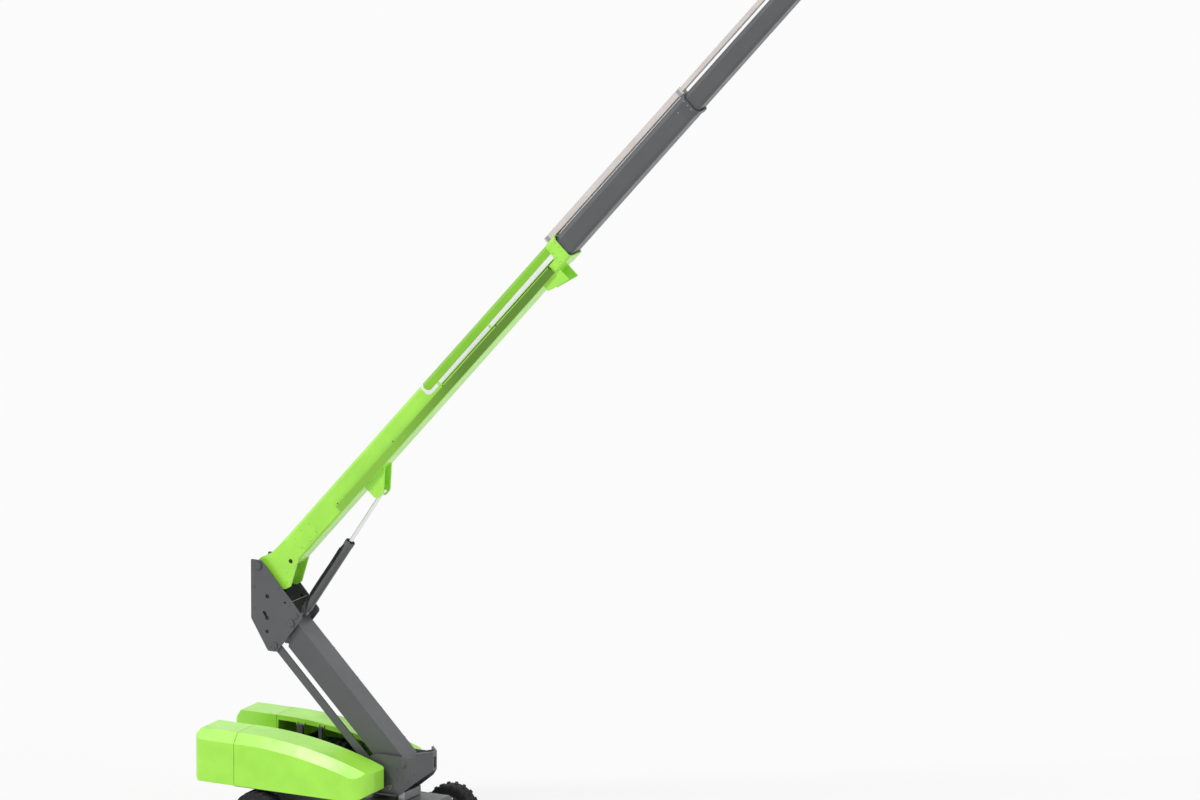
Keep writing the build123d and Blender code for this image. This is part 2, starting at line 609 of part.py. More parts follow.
def boom_base():
    """Base section with its tail plates and pivot boss, lift lug, head and roller bracket."""
    tube = box_section(520, BOOM_HEAD, BOOM_HALF_WIDTH, 0, -BOOM_DEPTH, BOOM_WALL, 60, 30)
    tail = rounded_plate(
        [(-112, 95), (-112, -40), (0, -640), (150, -690), (420, -565), (700, -440), (700, -20), (330, 0), (95, 95)],
        (95, 100, 90, 70, 200, 60, 0, 300, 90), BOOM_HALF_WIDTH - 30, BOOM_HALF_WIDTH,
    )
    boss = cross_pin((0, 0), 95, -BOOM_HALF_WIDTH, BOOM_HALF_WIDTH)
    lug = rounded_plate(
        [(2690, 5 - BOOM_DEPTH), (2700, -800), (2900, -800), (3320, 5 - BOOM_DEPTH)], (0, 90, 110, 0), 110, 140
    )
    stub = cross_pin(LIFT_PIN_ON_BOOM, 45, 54, 115)
    head = box_section(BOOM_HEAD - 260, BOOM_HEAD, BOOM_HALF_WIDTH + 12, 12, -BOOM_DEPTH - 12, 22, 66, 36)
    bracket = side_plate(
        [(8350, -BOOM_DEPTH), (8350, -600), (8830, -740), (8830, -BOOM_DEPTH)], 155, 180
    )
    bore = cross_pin((0, 0), BOOM_PIN_RADIUS + 0.3, -400, 400) + cross_pin((510, -374), 44, -400, 400)
    base = tube + both_sides(tail + lug + stub + bracket) + head + boss - bore
    return lean(base, BOOM_PIVOT, BOOM_ANGLE)


def hose_tray():
    """Open-topped trough on the right side, its outer wall leaning out from the bottom."""
    wall, low, high = BOOM_HALF_WIDTH, -BOOM_DEPTH + 5, -BOOM_DEPTH + 140
    section = [
        (-wall, low), (-wall - 12, low), (-wall - 73, high - 15), (-wall - 73, high), (-wall - 65, high),
        (-wall - 65, high - 14), (-wall - 8, low + 8), (-wall, low + 8),
    ]
    trough = extrude(Plane.YZ * make_face(Polyline(*section, close=True)), amount=6700)
    return lean(Pos(2040, 0, 0) * trough, BOOM_PIVOT, BOOM_ANGLE)


def section_sizes(step):
    """Half width, top and bottom of a telescoped section, each step further in."""
    shrink = step * (BOOM_WALL + SECTION_GAP)
    return BOOM_HALF_WIDTH - shrink, -shrink, -BOOM_DEPTH + shrink


def boom_mid():
    half, top, bottom = section_sizes(1)
    tube = box_section(MID_HEAD - MID_LENGTH, MID_HEAD, half, top, bottom, BOOM_WALL, 100, 55)
    collar = box_section(MID_HEAD - 90, MID_HEAD, half + 14, top + 14, bottom - 14, 24, 108, 62)
    return lean(tube + collar, BOOM_PIVOT, BOOM_ANGLE)


def boom_fly():
    """Fly section with cheeks for the jib mount, a pin through them and one for the levelling cylinder."""
    half, top, bottom = section_sizes(2)
    tube = box_section(FLY_HEAD - FLY_LENGTH, FLY_HEAD, half, top, bottom, BOOM_WALL, 92, 48)
    s, up = JIB_PIVOT_ON_BOOM
    cheek = side_plate(
        [(FLY_HEAD - 150, -120), (FLY_HEAD - 150, -400), (s - 60, up - 110), (s + 50, up - 90), (s + 100, up),
         (s + 50, up + 90), (s - 150, up + 110)],
        half - BOOM_WALL, half + 14,
    )
    pin = cross_pin(JIB_PIVOT_ON_BOOM, JIB_PIN_RADIUS, -half - 20, half + 20)
    foot = (s + LEVEL_FOOT_FROM_PIVOT[0], up + LEVEL_FOOT_FROM_PIVOT[1])
    foot_pin = cross_pin(foot, LEVEL_PIN_RADIUS, -half + 2, half - 2)
    return lean(tube + both_sides(cheek) + pin + foot_pin, BOOM_PIVOT, BOOM_ANGLE)


def carrier_tube(start, end, half_width, low, high, foot_low):
    """Hollow hose carrier on top of a section, standing on a foot at the section's head."""
    tube = block((start, end), (-half_width, half_width), (low, high))
    tube -= block((start - 5, end + 5), (-half_width + 6, half_width - 6), (low + 6, high - 6))
    foot = block((end - 70, end), (-half_width, half_width), (foot_low, low))
    return lean(tube + foot, BOOM_PIVOT, BOOM_ANGLE)


def mid_carrier_tube():
    return carrier_tube(8950, MID_HEAD - 10, TUBE_HALF_WIDTH, 24, 24 + TUBE_HEIGHT, -8)


def fly_carrier_tube():
    top = section_sizes(2)[1]
    return carrier_tube(11800, FLY_HEAD - 20, TUBE_HALF_WIDTH - 14, 38, 10 + TUBE_HEIGHT, top)


# Jib and platform

def around_pin(point, pin_radius):
    return cross_pin(point, pin_radius + 0.3, -400, 400)


def jib_mount():
    """Levelled mount on the fly's nose: two plates, the jib's lower pins and the levelling lever."""
    outline = [(-200, 230), (-90, 230), (60, 70), (120, -180), (120, -300), (60, -350), (-60, -350), (-90, -60)]
    plate = side_plate([offset(JIB_PIVOT, p) for p in outline], 118, 138)
    plate -= around_pin(JIB_PIVOT, JIB_PIN_RADIUS)
    link_pin = cross_pin(offset(JIB_PIVOT, JIB_LINK_OFFSET), 18, 118, 160)
    foot_pin = cross_pin(JIB_FOOT, 22, -130, 130)
    lever_stub = cross_pin(LEVEL_EYE, 20, 36, 130)
    tie = block((JIB_PIVOT[0] - 80, JIB_PIVOT[0] - 62), (-130, 130), (JIB_PIVOT[1] - 330, JIB_PIVOT[1] - 150))
    return both_sides(plate + link_pin + lever_stub) + foot_pin + tie


def jib_arm():
    """Two bars joined at both ends, with room between them for the cylinder."""
    bar = side_plate(
        [
            (-60, -40), (-60, 40), (150, JIB_HALF_DEPTH), (JIB_LENGTH - 150, JIB_HALF_DEPTH),
            (JIB_LENGTH + 60, 40), (JIB_LENGTH + 60, -40), (JIB_LENGTH - 150, -JIB_HALF_DEPTH),
            (150, -JIB_HALF_DEPTH),
        ],
        62, 112,
    )
    boss = cross_pin((0, 0), 55, 60, 114)
    tip = block((JIB_LENGTH - 400, JIB_LENGTH - 160), (-70, 70), (-50, 50))
    root = block((110, 150), (-70, 70), (20, 70))
    stub = cross_pin(JIB_EYE_ON_JIB, 22, 36, 112)
    lug = side_plate([(900, -70), (960, -185), (1040, -185), (1100, -70)], 70, 105)
    arm = both_sides(bar + boss + stub + lug) + tip + root
    for s in (0, JIB_LENGTH):
        arm -= around_pin((s, 0), JIB_PIN_RADIUS)
    return lean(arm, JIB_PIVOT, JIB_ANGLE)


def jib_link():
    """Two bars outside the mounts that keep the platform level."""
    bar = side_plate([(-35, -25), (-35, 25), (JIB_LENGTH + 35, 25), (JIB_LENGTH + 35, -25)], 142, 156)
    for s in (0, JIB_LENGTH):
        bar -= cross_pin((s, 0), 18.3, 100, 200)
    return lean(both_sides(bar), offset(JIB_PIVOT, JIB_LINK_OFFSET), JIB_ANGLE)


def platform_mount():
    """Levelled plates at the jib's tip with the rotator's post in front."""
    x, z = JIB_TIP
    outline = [(-70, 60), (60, 70), (240, 20), (240, -330), (0, -310), (-70, -200)]
    plate = side_plate([offset(JIB_TIP, p) for p in outline], 118, 138)
    pin = cross_pin(JIB_TIP, JIB_PIN_RADIUS, -138, 138)
    link_pin = cross_pin(offset(JIB_TIP, JIB_LINK_OFFSET), 18, 118, 160)
    tie = block((x + 200, x + 260), (-138, 138), (z - 330, z + 20))
    post = Pos(x + ROTATOR_REACH, 0, z - 330) * standing(90, 350)
    return both_sides(plate + link_pin) + pin + tie + block((x + 250, x + 330), (-60, 60), (z - 300, z)) + post


def platform_floor():
    """Carrying arm under the rotator, and the floor with its kick plates."""
    x, z = PLATFORM_X, PLATFORM_Z
    half = PLATFORM_LENGTH / 2
    arm = block((x - 90, x + FLOOR_REAR), (-90, 90), (z + 30, z + 90))
    arm += block((x + FLOOR_REAR - 30, x + FLOOR_REAR), (-90, 90), (z - 30, z + 90))
    tray = block((x + FLOOR_REAR, x + FLOOR_REAR + PLATFORM_DEPTH), (-half, half), (z - 30, z + 120))
    tray -= block((x + FLOOR_REAR + 4, x + FLOOR_REAR + PLATFORM_DEPTH - 4), (-half + 4, half - 4), (z, z + 130))
    deck = block((x + FLOOR_REAR + 50, x + FLOOR_REAR + PLATFORM_DEPTH - 50), (-half + 50, half - 50), (z, z + 3))
    return arm + tray + deck


def platform_rails():
    """Guard rails on three sides and beside the gate, standing on the floor."""
    x0, x1, y1 = RAIL_X0, RAIL_X1, RAIL_Y
    z0, z1 = PLATFORM_Z, PLATFORM_Z + RAIL_HEIGHT
    bars = []
    for z in (z1, (z0 + z1) / 2):
        bars += [((x0, -y1, z), (x0, y1, z)), ((x1, -y1, z), (x1, y1, z)), ((x0, -y1, z), (x1, -y1, z))]
    bars += [((x0, y1, z1), (x0 + GATE_POST, y1, z1)), ((x1, y1, z1), (x1 - GATE_POST, y1, z1))]
    posts = [(x0, -y1), (x0, y1), (x1, -y1), (x1, y1), (x0, 0), (x1, 0)]
    posts += [(x0 + GATE_POST, y1), (x1 - GATE_POST, y1)]
    rails = [tube_between(a, b, RAIL_RADIUS - 2) for a, b in bars]
    rails += [tube_between((x, y, z0), (x, y, z1), RAIL_RADIUS) for x, y in posts]
    rails += [Pos(x, y, z1) * Sphere(RAIL_RADIUS + 2) for x, y in posts]
    return rails[0].fuse(*rails[1:])


def platform_gate():
    """Gate of bent tube in the left end, hinged at the front post."""
    x0, x1 = RAIL_X0 + GATE_POST + GATE_GAP, RAIL_X1 - GATE_POST - GATE_GAP
    z0, z1 = PLATFORM_Z + 160, PLATFORM_Z + RAIL_HEIGHT
    corners = [(x0, RAIL_Y, z0), (x0, RAIL_Y, z1), (x1, RAIL_Y, z1), (x1, RAIL_Y, z0)]
    bars = [tube_between(a, b, RAIL_RADIUS - 3) for a, b in zip(corners, corners[1:] + corners[:1])]
    bars.append(tube_between((x0, RAIL_Y, (z0 + z1) / 2), (x1, RAIL_Y, (z0 + z1) / 2), RAIL_RADIUS - 3))
    return bars[0].fuse(*bars[1:])


def control_console():
    x = RAIL_X0 + RAIL_RADIUS
    return block((x, x + 200), (-300, 300), (PLATFORM_Z + 850, PLATFORM_Z + 1060))


def build():
    nodes = {
        "chassis_frame": chassis_frame(),
        "slew_bearing": slew_bearing(),
        "front_axle": front_axle(),
        "steering_cylinder": steering_cylinder(),
        "rear_axle": rear_axle(),
        "knuckle_front_left": knuckle_front_left(),
        "knuckle_front_right": mirror(knuckle_front_left(), about=Plane.XZ),
        "steering_rod": steering_rod(),
        "turntable_frame": turntable_frame(),
        "slew_drive": slew_drive(),
        "counterweight": counterweight(),
        "engine": engine(),
        "radiator": radiator(),
        "hydraulic_tank": hydraulic_tank(),
        "fuel_tank": fuel_tank(),
        "hood_left": hood_left(),
        "hood_right": mirror(hood_left(), about=Plane.XZ),
        "riser_boom": riser_boom(),
        "riser_link": riser_link(),
        "riser_cylinder_barrel": cylinder_barrel(RISER_CYLINDER_FOOT, RISER_EYE, 75, 1660, 60, FOOT_PIN_RADIUS, 45),
        "riser_cylinder_rod": cylinder_rod(RISER_CYLINDER_FOOT, RISER_EYE, 38, 1000, 58, 45, 60),
        "riser_knuckle": riser_knuckle(),
        "lift_cylinder_barrel": cylinder_barrel(LIFT_FOOT, LIFT_EYE, 92, 1750, 72, FOOT_PIN_RADIUS, 60),
        "lift_cylinder_rod": cylinder_rod(LIFT_FOOT, LIFT_EYE, 38, 1850, 42, 48, 76),
        "boom_base": boom_base(),
        "hose_tray": hose_tray(),
        "boom_mid": boom_mid(),
        "mid_carrier_tube": mid_carrier_tube(),
        "boom_fly": boom_fly(),
        "fly_carrier_tube": fly_carrier_tube(),
        "level_cylinder_barrel": cylinder_barrel(LEVEL_FOOT, LEVEL_EYE, 42, 640, 32, LEVEL_PIN_RADIUS, 30),
        "level_cylinder_rod": cylinder_rod(LEVEL_FOOT, LEVEL_EYE, 18, 480, 28, 28, 27),
        "jib_mount": jib_mount(),
        "jib_arm": jib_arm(),
        "jib_link": jib_link(),
        "jib_cylinder_barrel": cylinder_barrel(JIB_FOOT, JIB_EYE, 42, 700, 38, 22, 30),
        "jib_cylinder_rod": cylinder_rod(JIB_FOOT, JIB_EYE, 22, 660, 30, 30, 27),
        "platform_mount": platform_mount(),
        "platform_floor": platform_floor(),
        "platform_rails": platform_rails(),
        "platform_gate": platform_gate(),
        "control_console": control_console(),
    }
    for end, x in (("front", FRONT_X), ("rear", REAR_X)):
        for name, side in (("left", 1), ("right", -1)):
            nodes[f"rim_{end}_{name}"] = rim(x, side)
            nodes[f"tyre_{end}_{name}"] = tyre(x, side)
    return nodes


def frame_shift(nodes):
    """How far the outer box's middle lies behind or ahead of the slewing centre."""
    boxes = [shape.bounding_box() for shape in nodes.values()]
    return -(min(b.min.X for b in boxes) + max(b.max.X for b in boxes)) / 2


NODES = build()
SHIFT = frame_shift(NODES)

os.makedirs("parts", exist_ok=True)
for name, shape in NODES.items():
    export_step(Pos(SHIFT, 0, 0) * shape, f"parts/{name}.step")
print(f"slewing centre at X = {SHIFT:.1f} mm")
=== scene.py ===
"""Looks of the articulating boom lift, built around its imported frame. Metres, X forward, Y left, Z up."""
import json
import math

import bmesh
import bpy
from mathutils import Matrix, Vector


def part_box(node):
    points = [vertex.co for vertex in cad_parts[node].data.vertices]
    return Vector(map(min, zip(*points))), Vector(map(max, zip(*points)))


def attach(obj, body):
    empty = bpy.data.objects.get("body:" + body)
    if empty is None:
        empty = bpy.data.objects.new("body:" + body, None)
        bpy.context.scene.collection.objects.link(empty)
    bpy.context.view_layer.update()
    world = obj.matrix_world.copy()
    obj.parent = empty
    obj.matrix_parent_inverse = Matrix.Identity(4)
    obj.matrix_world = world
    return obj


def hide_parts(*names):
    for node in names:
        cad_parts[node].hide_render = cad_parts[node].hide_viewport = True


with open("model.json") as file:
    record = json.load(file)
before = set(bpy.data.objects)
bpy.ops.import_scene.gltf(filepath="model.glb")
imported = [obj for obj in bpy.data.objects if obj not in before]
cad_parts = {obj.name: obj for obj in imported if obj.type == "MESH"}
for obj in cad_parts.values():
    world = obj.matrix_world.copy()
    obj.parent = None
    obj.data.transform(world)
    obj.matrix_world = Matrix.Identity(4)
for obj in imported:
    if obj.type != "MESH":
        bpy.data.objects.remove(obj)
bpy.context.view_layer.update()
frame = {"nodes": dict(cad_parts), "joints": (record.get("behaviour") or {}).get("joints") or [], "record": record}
JOINTS = {joint["name"]: joint for joint in frame["joints"]}
SIDES = (1, -1)

# The photograph's view
VIEW_AZIMUTH = math.radians(28.8)
VIEW_HEIGHT = math.radians(14.0)
VIEW_DISTANCE = 400.0
VIEW_WIDTH = 22.018
VIEW_ASIDE = 4.471
VIEW_ABOVE = 8.068
SENSOR = 36.0

# Paint colours, in linear light
GREEN = (0.36, 0.80, 0.06)
STRIPE_GREEN = (0.21, 0.55, 0.004)
# Painted shade of the hose tray, at its darkest near the boom's head
TRAY_SHADE_GREEN = (0.11, 0.26, 0.012)
GREY = (0.080, 0.083, 0.088)
PALE = (0.66, 0.61, 0.58)
BLACK = (0.012, 0.013, 0.015)

# Where the tray's painted shade begins and where it is full, along the boom
TRAY_SHADE = (4.2, 6.4)

# Ripple of sprayed paint
PEEL_SCALE = 320.0
PEEL_STRENGTH = 0.12
PEEL_DEPTH = 0.0006

SHARP_ANGLE = math.radians(35)


# Materials

class Tree:
    """A material's nodes, with short ways to add and join them."""

    def __init__(self, name):
        self.material = bpy.data.materials.new(name)
        self.material.use_nodes = True
        self.nodes = self.material.node_tree.nodes
        self.links = self.material.node_tree.links
        self.shader = self.nodes["Principled BSDF"]
        self.place = self.nodes.new("ShaderNodeTexCoord").outputs["Object"]

    def put(self, values):
        for name, value in values.items():
            self.shader.inputs[name].default_value = value

    def add(self, kind, inputs=None, **settings):
        node = self.nodes.new(kind)
        for name, value in settings.items():
            setattr(node, name, value)
        for name, value in (inputs or {}).items():
            if isinstance(value, bpy.types.NodeSocket):
                self.links.new(value, node.inputs[name])
            else:
                node.inputs[name].default_value = value
        return node

    def noise(self, scale, detail=3.0):
        inputs = {"Vector": self.place, "Scale": scale, "Detail": detail}
        return self.add("ShaderNodeTexNoise", inputs).outputs["Fac"]

    def ramp(self, value, low, high, to_low, to_high):
        inputs = {"Value": value, "From Min": low, "From Max": high, "To Min": to_low, "To Max": to_high}
        return self.add("ShaderNodeMapRange", inputs).outputs[0]

    def mix(self, factor, a, b):
        node = self.add("ShaderNodeMix", data_type="RGBA")
        for socket, value in zip((node.inputs[0], node.inputs[6], node.inputs[7]), (factor, a, b)):
            if isinstance(value, bpy.types.NodeSocket):
                self.links.new(value, socket)
            else:
                socket.default_value = value if isinstance(value, float) else (*value, 1.0)
        return node.outputs[2]

    def bump(self, height, strength, distance, edge=None):
        inputs = {"Height": height, "Strength": strength, "Distance": distance}
        if edge:
            inputs["Normal"] = self.add("ShaderNodeBevel", {"Radius": edge}, samples=4).outputs[0]
        normal = self.add("ShaderNodeBump", inputs).outputs[0]
        self.links.new(normal, self.shader.inputs["Normal"])

    def feed(self, socket, value):
        self.links.new(value, self.shader.inputs[socket])


def shade(colour, factor):
    return tuple(min(1.0, part * factor) for part in colour)


def paint(name, colour, rough, coat, edge=0.006):
    """Sprayed paint: faint orange peel, slight tone and gloss changes, and small darker specks."""
    tree = Tree(name)
    drift = tree.ramp(tree.noise(1.7, 4.0), 0.35, 0.65, 0.0, 1.0)
    tone = tree.mix(drift, shade(colour, 0.94), shade(colour, 1.05))
    speck = tree.ramp(tree.noise(38.0, 2.0), 0.62, 0.8, 0.0, 0.16)
    tree.feed("Base Color", tree.mix(speck, tone, shade(colour, 0.8)))
    tree.feed("Roughness", tree.ramp(tree.noise(5.0), 0.3, 0.7, rough - 0.05, rough + 0.08))
    tree.put({"Coat Weight": coat, "Coat Roughness": 0.12})
    tree.bump(tree.noise(PEEL_SCALE, 1.0), PEEL_STRENGTH, PEEL_DEPTH, edge)
    return tree.material


def metal(name, colour, rough, scratch=0.1):
    """Bare metal with fine scratches and an uneven polish."""
    tree = Tree(name)
    tree.feed("Base Color", tree.mix(tree.noise(9.0), shade(colour, 0.9), colour))
    tree.feed("Roughness", tree.ramp(tree.noise(30.0, 4.0), 0.3, 0.7, rough * 0.8, rough * 1.3))
    tree.put({"Metallic": 1.0})
    tree.bump(tree.noise(600.0, 2.0), scratch, 0.0004)
    return tree.material


def rubber(name):
    """Black rubber with a little dust in patches."""
    tree = Tree(name)
    dust = tree.ramp(tree.noise(7.0, 5.0), 0.5, 0.75, 0.0, 0.5)
    tree.feed("Base Color", tree.mix(dust, (0.012, 0.012, 0.013), (0.045, 0.043, 0.04)))
    tree.put({"Roughness": 0.78, "Specular IOR Level": 0.35})
    tree.bump(tree.noise(240.0, 3.0), 0.25, 0.001, 0.004)
    return tree.material


GREEN_PAINT = paint("green_paint", GREEN, 0.34, 0.35)
HOOD_PAINT = paint("hood_paint", GREEN, 0.36, 0.22, 0.012)
GREY_PAINT = paint("grey_paint", GREY, 0.42, 0.15)
PALE_PAINT = paint("pale_paint", PALE, 0.45, 0.1)
BLACK_PAINT = paint("black_paint", BLACK, 0.45, 0.1, 0.003)
RAIL_PAINT = paint("rail_paint", GREY, 0.38, 0.2, 0.002)
CHROME = metal("chrome", (0.82, 0.83, 0.85), 0.1, 0.02)
STEEL = metal("steel", (0.42, 0.42, 0.43), 0.38)
RUBBER = rubber("rubber")
HOSE_RUBBER = rubber("hose_rubber")
WHITE_PAINT = paint("white_paint", (0.80, 0.82, 0.80), 0.35, 0.3)
STRIPE_PAINT = paint("stripe_paint", STRIPE_GREEN, 0.34, 0.35)
PAD_PLASTIC = paint("pad_plastic", (0.30, 0.31, 0.32), 0.5, 0.0, 0.002)
BRACKET_PAINT = paint("bracket_paint", (0.33, 0.32, 0.36), 0.45, 0.1, 0.002)
ENGINE_PAINT = paint("engine_paint", (0.035, 0.037, 0.042), 0.42, 0.2, 0.003)
RED_PLASTIC = paint("red_plastic", (0.55, 0.012, 0.010), 0.3, 0.3, 0.001)

FINISH = {
    "green": GREEN_PAINT, "hood_green": HOOD_PAINT, "green_cast": GREEN_PAINT, "dark_grey": GREY_PAINT,
    "black": BLACK_PAINT, "carrier": PALE_PAINT, "chrome": CHROME, "steel": STEEL, "tyre": RUBBER,
    "engine": BLACK_PAINT, "rail": RAIL_PAINT, "console": BLACK_PAINT,
}


def tray_painted_shade():
    """Boom green with painted shade: darker at the tray's lower end and fully shaded near the boom's head."""
    tree = Tree("tray_painted_shade")
    across = tree.add("ShaderNodeSeparateXYZ", {"Vector": tree.place}).outputs["X"]
    low, high = (BOOM @ Vector((s, 0, 0)) for s in TRAY_SHADE)
    fade = tree.ramp(across, low.x, high.x, 0.0, 1.0)
    # Painted shade: the boom's green darkened at the tray's lower end, darker still towards the head
    tree.feed("Base Color", tree.mix(fade, shade(GREEN, 0.72), TRAY_SHADE_GREEN))
    tree.feed("Roughness", tree.ramp(tree.noise(5.0), 0.3, 0.7, 0.36, 0.48))
    tree.bump(tree.noise(PEEL_SCALE, 1.0), PEEL_STRENGTH, PEEL_DEPTH, 0.002)
    return tree.material


def dress_frame():
    """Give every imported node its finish, by the record's material slots."""
    for part in frame["record"]["subparts"]:
        for slot in frame["nodes"][part["node"]].material_slots:
            slot.material = FINISH[part["material_slot"]]
    for slot in frame["nodes"]["hose_tray"].material_slots:
        slot.material = tray_painted_shade()


# Places, worked out from the joints

def place(joint):
    return Vector(JOINTS[joint]["pos_m"])


def side_frame(origin, along):
    """Frame with X along a piece in the side view, Y left and Z up from it."""
    x = Vector(along).normalized()
    y = Vector((0, 1, 0))
    z = x.cross(y)
    return Matrix.Translation(origin) @ Matrix((x, y, z)).transposed().to_4x4()


WORLD = Matrix.Identity(4)
GROUND = Matrix.Translation((place("slew").x, 0, 0))
BOOM = side_frame(place("boom_lift"), JOINTS["boom_extend"]["axis"])
RISER = side_frame(place("riser_lift"), place("riser_knuckle_level") - place("riser_lift"))
KNUCKLE = Matrix.Translation(place("riser_knuckle_level"))
LIFT = side_frame(place("lift_cylinder_turn"), JOINTS["lift_cylinder_stroke"]["axis"])
JIB = side_frame(place("jib_lift"), place("platform_mount_level") - place("jib_lift"))


# Building meshes

class Piece:
    """One mesh, built from simple solids in a frame, that rides on a body."""

    def __init__(self, name, body, material, frame_at=GROUND, bevel=0.0):
        self.name, self.body, self.material = name, body, material
        self.at, self.bevel = frame_at, bevel
        self.mesh = bmesh.new()

    def loft(self, rings, closed=False):
        """Skin over rings of points, capped at its ends or closed on itself."""
        made = [[self.mesh.verts.new(self.at @ Vector(point)) for point in ring] for ring in rings]
        count = len(made[0])
        pairs = list(zip(made, made[1:]))
        if closed:
            pairs.append((made[-1], made[0]))
        for low, high in pairs:
            for i in range(count):
                j = (i + 1) % count
                self.mesh.faces.new((low[i], low[j], high[j], high[i]))
        if not closed:
            self.mesh.faces.new(list(reversed(made[0])))
            self.mesh.faces.new(made[-1])

    def box(self, x, y, z):
        corners = [(x[0], y[0]), (x[1], y[0]), (x[1], y[1]), (x[0], y[1])]
        self.loft([[(*corner, height) for corner in corners] for height in z])

    def plate(self, outline, y_low, y_high):
        """Side-view outline between two widths."""
        self.loft([[(x, y, z) for x, z in outline] for y in (y_low, y_high)])

    def turned(self, centre, axis, profile, sides=40):
        """Closed profile of radii and heights, turned about an axis."""
        turn = Vector(axis).to_track_quat("Z", "Y")
        rings = []
        for step in range(sides):
            angle = math.tau * step / sides
            ring = [Vector((r * math.cos(angle), r * math.sin(angle), h)) for r, h in profile]
            rings.append([Vector(centre) + turn @ point for point in ring])
        self.loft(rings, closed=True)

    def bar(self, a, b, radius, sides=20):
        self.tube([a, b], radius, sides, smooth=False)

    def tube(self, points, radius, sides=10, smooth=True):
        """Round tube through points, smoothed unless told otherwise. The radius may depend on the step."""
        path = [Vector(point) for point in points]
        if smooth:
            path = spline(path)
        rings, across = [], None
        for i, point in enumerate(path):
            ahead = (path[min(i + 1, len(path) - 1)] - path[max(i - 1, 0)]).normalized()
            if across is None:
                across = ahead.orthogonal().normalized()
            across = (across - ahead * across.dot(ahead)).normalized()
            other = ahead.cross(across)
            size = radius(i) if callable(radius) else radius
            turns = [math.tau * k / sides for k in range(sides)]
            rings.append([point + (across * math.cos(t) + other * math.sin(t)) * size for t in turns])
        self.loft(rings)

    def bolt(self, centre, axis, radius):
        """Hexagon head on a washer."""
        turn = Vector(axis).to_track_quat("Z", "Y")
        washer = (16, radius * 1.5, -0.001, 0.003)
        head = (6, radius, 0.003, 0.003 + radius * 0.75)
        for sides, size, low, high in (washer, head):
            turns = [math.tau * k / sides for k in range(sides)]
            ring = [Vector((size * math.cos(t), size * math.sin(t), 0)) for t in turns]
            self.loft([[Vector(centre) + turn @ (p + Vector((0, 0, h))) for p in ring] for h in (low, high)])

    def side_bolts(self, side, half, spots, radius):
        """Bolts on one side of a box, at places along it and up."""
        for x, z in spots:
            self.bolt((x, side * half, z), (0, side, 0), radius)

    def done(self, *replaced):
        """Make the object, with smooth faces and sharp edges, and let it ride on its body."""
        bmesh.ops.recalc_face_normals(self.mesh, faces=self.mesh.faces)
        for face in self.mesh.faces:
            face.smooth = True
        for edge in self.mesh.edges:
            edge.smooth = edge.calc_face_angle(0.0) < SHARP_ANGLE
        data = bpy.data.meshes.new(self.name)
        self.mesh.to_mesh(data)
        self.mesh.free()
        data.materials.append(self.material)
        piece = bpy.data.objects.new(self.name, data)
        bpy.context.scene.collection.objects.link(piece)
        if self.bevel:
            modifier = piece.modifiers.new("edges", "BEVEL")
            modifier.width = self.bevel
            modifier.segments = 2
            modifier.limit_method = "ANGLE"
        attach(piece, self.body)
        if replaced:
            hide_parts(*replaced)


def spline(points, steps=8):
    """Smooth path through every point."""
    ends = [points[0] * 2 - points[1]] + points + [points[-1] * 2 - points[-2]]
    path = []
    for a, b, c, d in zip(ends, ends[1:], ends[2:], ends[3:]):
        square = 2 * a - 5 * b + 4 * c - d
        cube = 3 * b - a - 3 * c + d
        for k in range(steps):
            t = k / steps
            path.append(0.5 * (2 * b + (c - a) * t + square * t ** 2 + cube * t ** 3))
    return path + [points[-1]]


def rounded(corners, radius, steps=6):
    """Closed outline with its corners rounded."""
    outline = []
    count = len(corners)
    for i, corner in enumerate(corners):
        here = Vector(corner)
        before = (Vector(corners[i - 1]) - here).normalized()
        after = (Vector(corners[(i + 1) % count]) - here).normalized()
        half = before.angle(after) / 2
        reach = radius / math.tan(half)
        centre = here + (before + after).normalized() * radius / math.sin(half)
        start, end = here + before * reach - centre, here + after * reach - centre
        for k in range(steps + 1):
            outline.append(tuple(centre + start.lerp(end, k / steps).normalized() * radius))
    return outline


def bent_path(corners, bend, z, steps=6):
    """Path through plan corners at one height, with a smooth bend at each inner one."""
    path = [(*corners[0], z)]
    for before, corner, after in zip(corners, corners[1:], corners[2:]):
        here = Vector(corner)
        into = (Vector(before) - here).normalized() * bend
        away = (Vector(after) - here).normalized() * bend
        for k in range(steps + 1):
            t = k / steps
            path.append((*(here + into * (1 - t) ** 2 + away * t ** 2), z))
    return path + [(*corners[-1], z)]


def pin_cap(caps, bolts, centre, side, radius):
    """Chamfered cap on the end of a pin, held by three bolts."""
    thick = 0.010
    caps.turned(
        centre, (0, side, 0),
        [(0.002, 0), (radius, 0), (radius, 0.006), (radius * 0.82, thick), (0.002, thick)],
    )
    for turn in (0.6, 2.7, 4.8):
        out = Vector((math.cos(turn), 0, math.sin(turn))) * radius * 0.62
        bolts.bolt(Vector(centre) + out + Vector((0, side * thick, 0)), (0, side, 0), 0.007)


# Wheels

TYRE_R = 0.5075
TREAD_R = 0.4835
TYRE_SIDES = 96
LUG_PITCHES = 18
LUG_SLANT = 0.44
LUG_FLARE = 1.25
LUG_EDGE = 0.0035

# Outer radius and place across, inner radius and place across, and width, from the middle outwards
LUG_STATIONS = [
    (0.5050, 0.006, 0.470, 0.006, 0.040), (0.5075, 0.060, 0.470, 0.060, 0.046),
    (0.5070, 0.115, 0.468, 0.115, 0.054), (0.5010, 0.150, 0.462, 0.136, 0.060),
    (0.4830, 0.1700, 0.446, 0.146, 0.062), (0.4520, 0.1772, 0.430, 0.150, 0.056),
    (0.4260, 0.1772, 0.415, 0.152, 0.040),
]

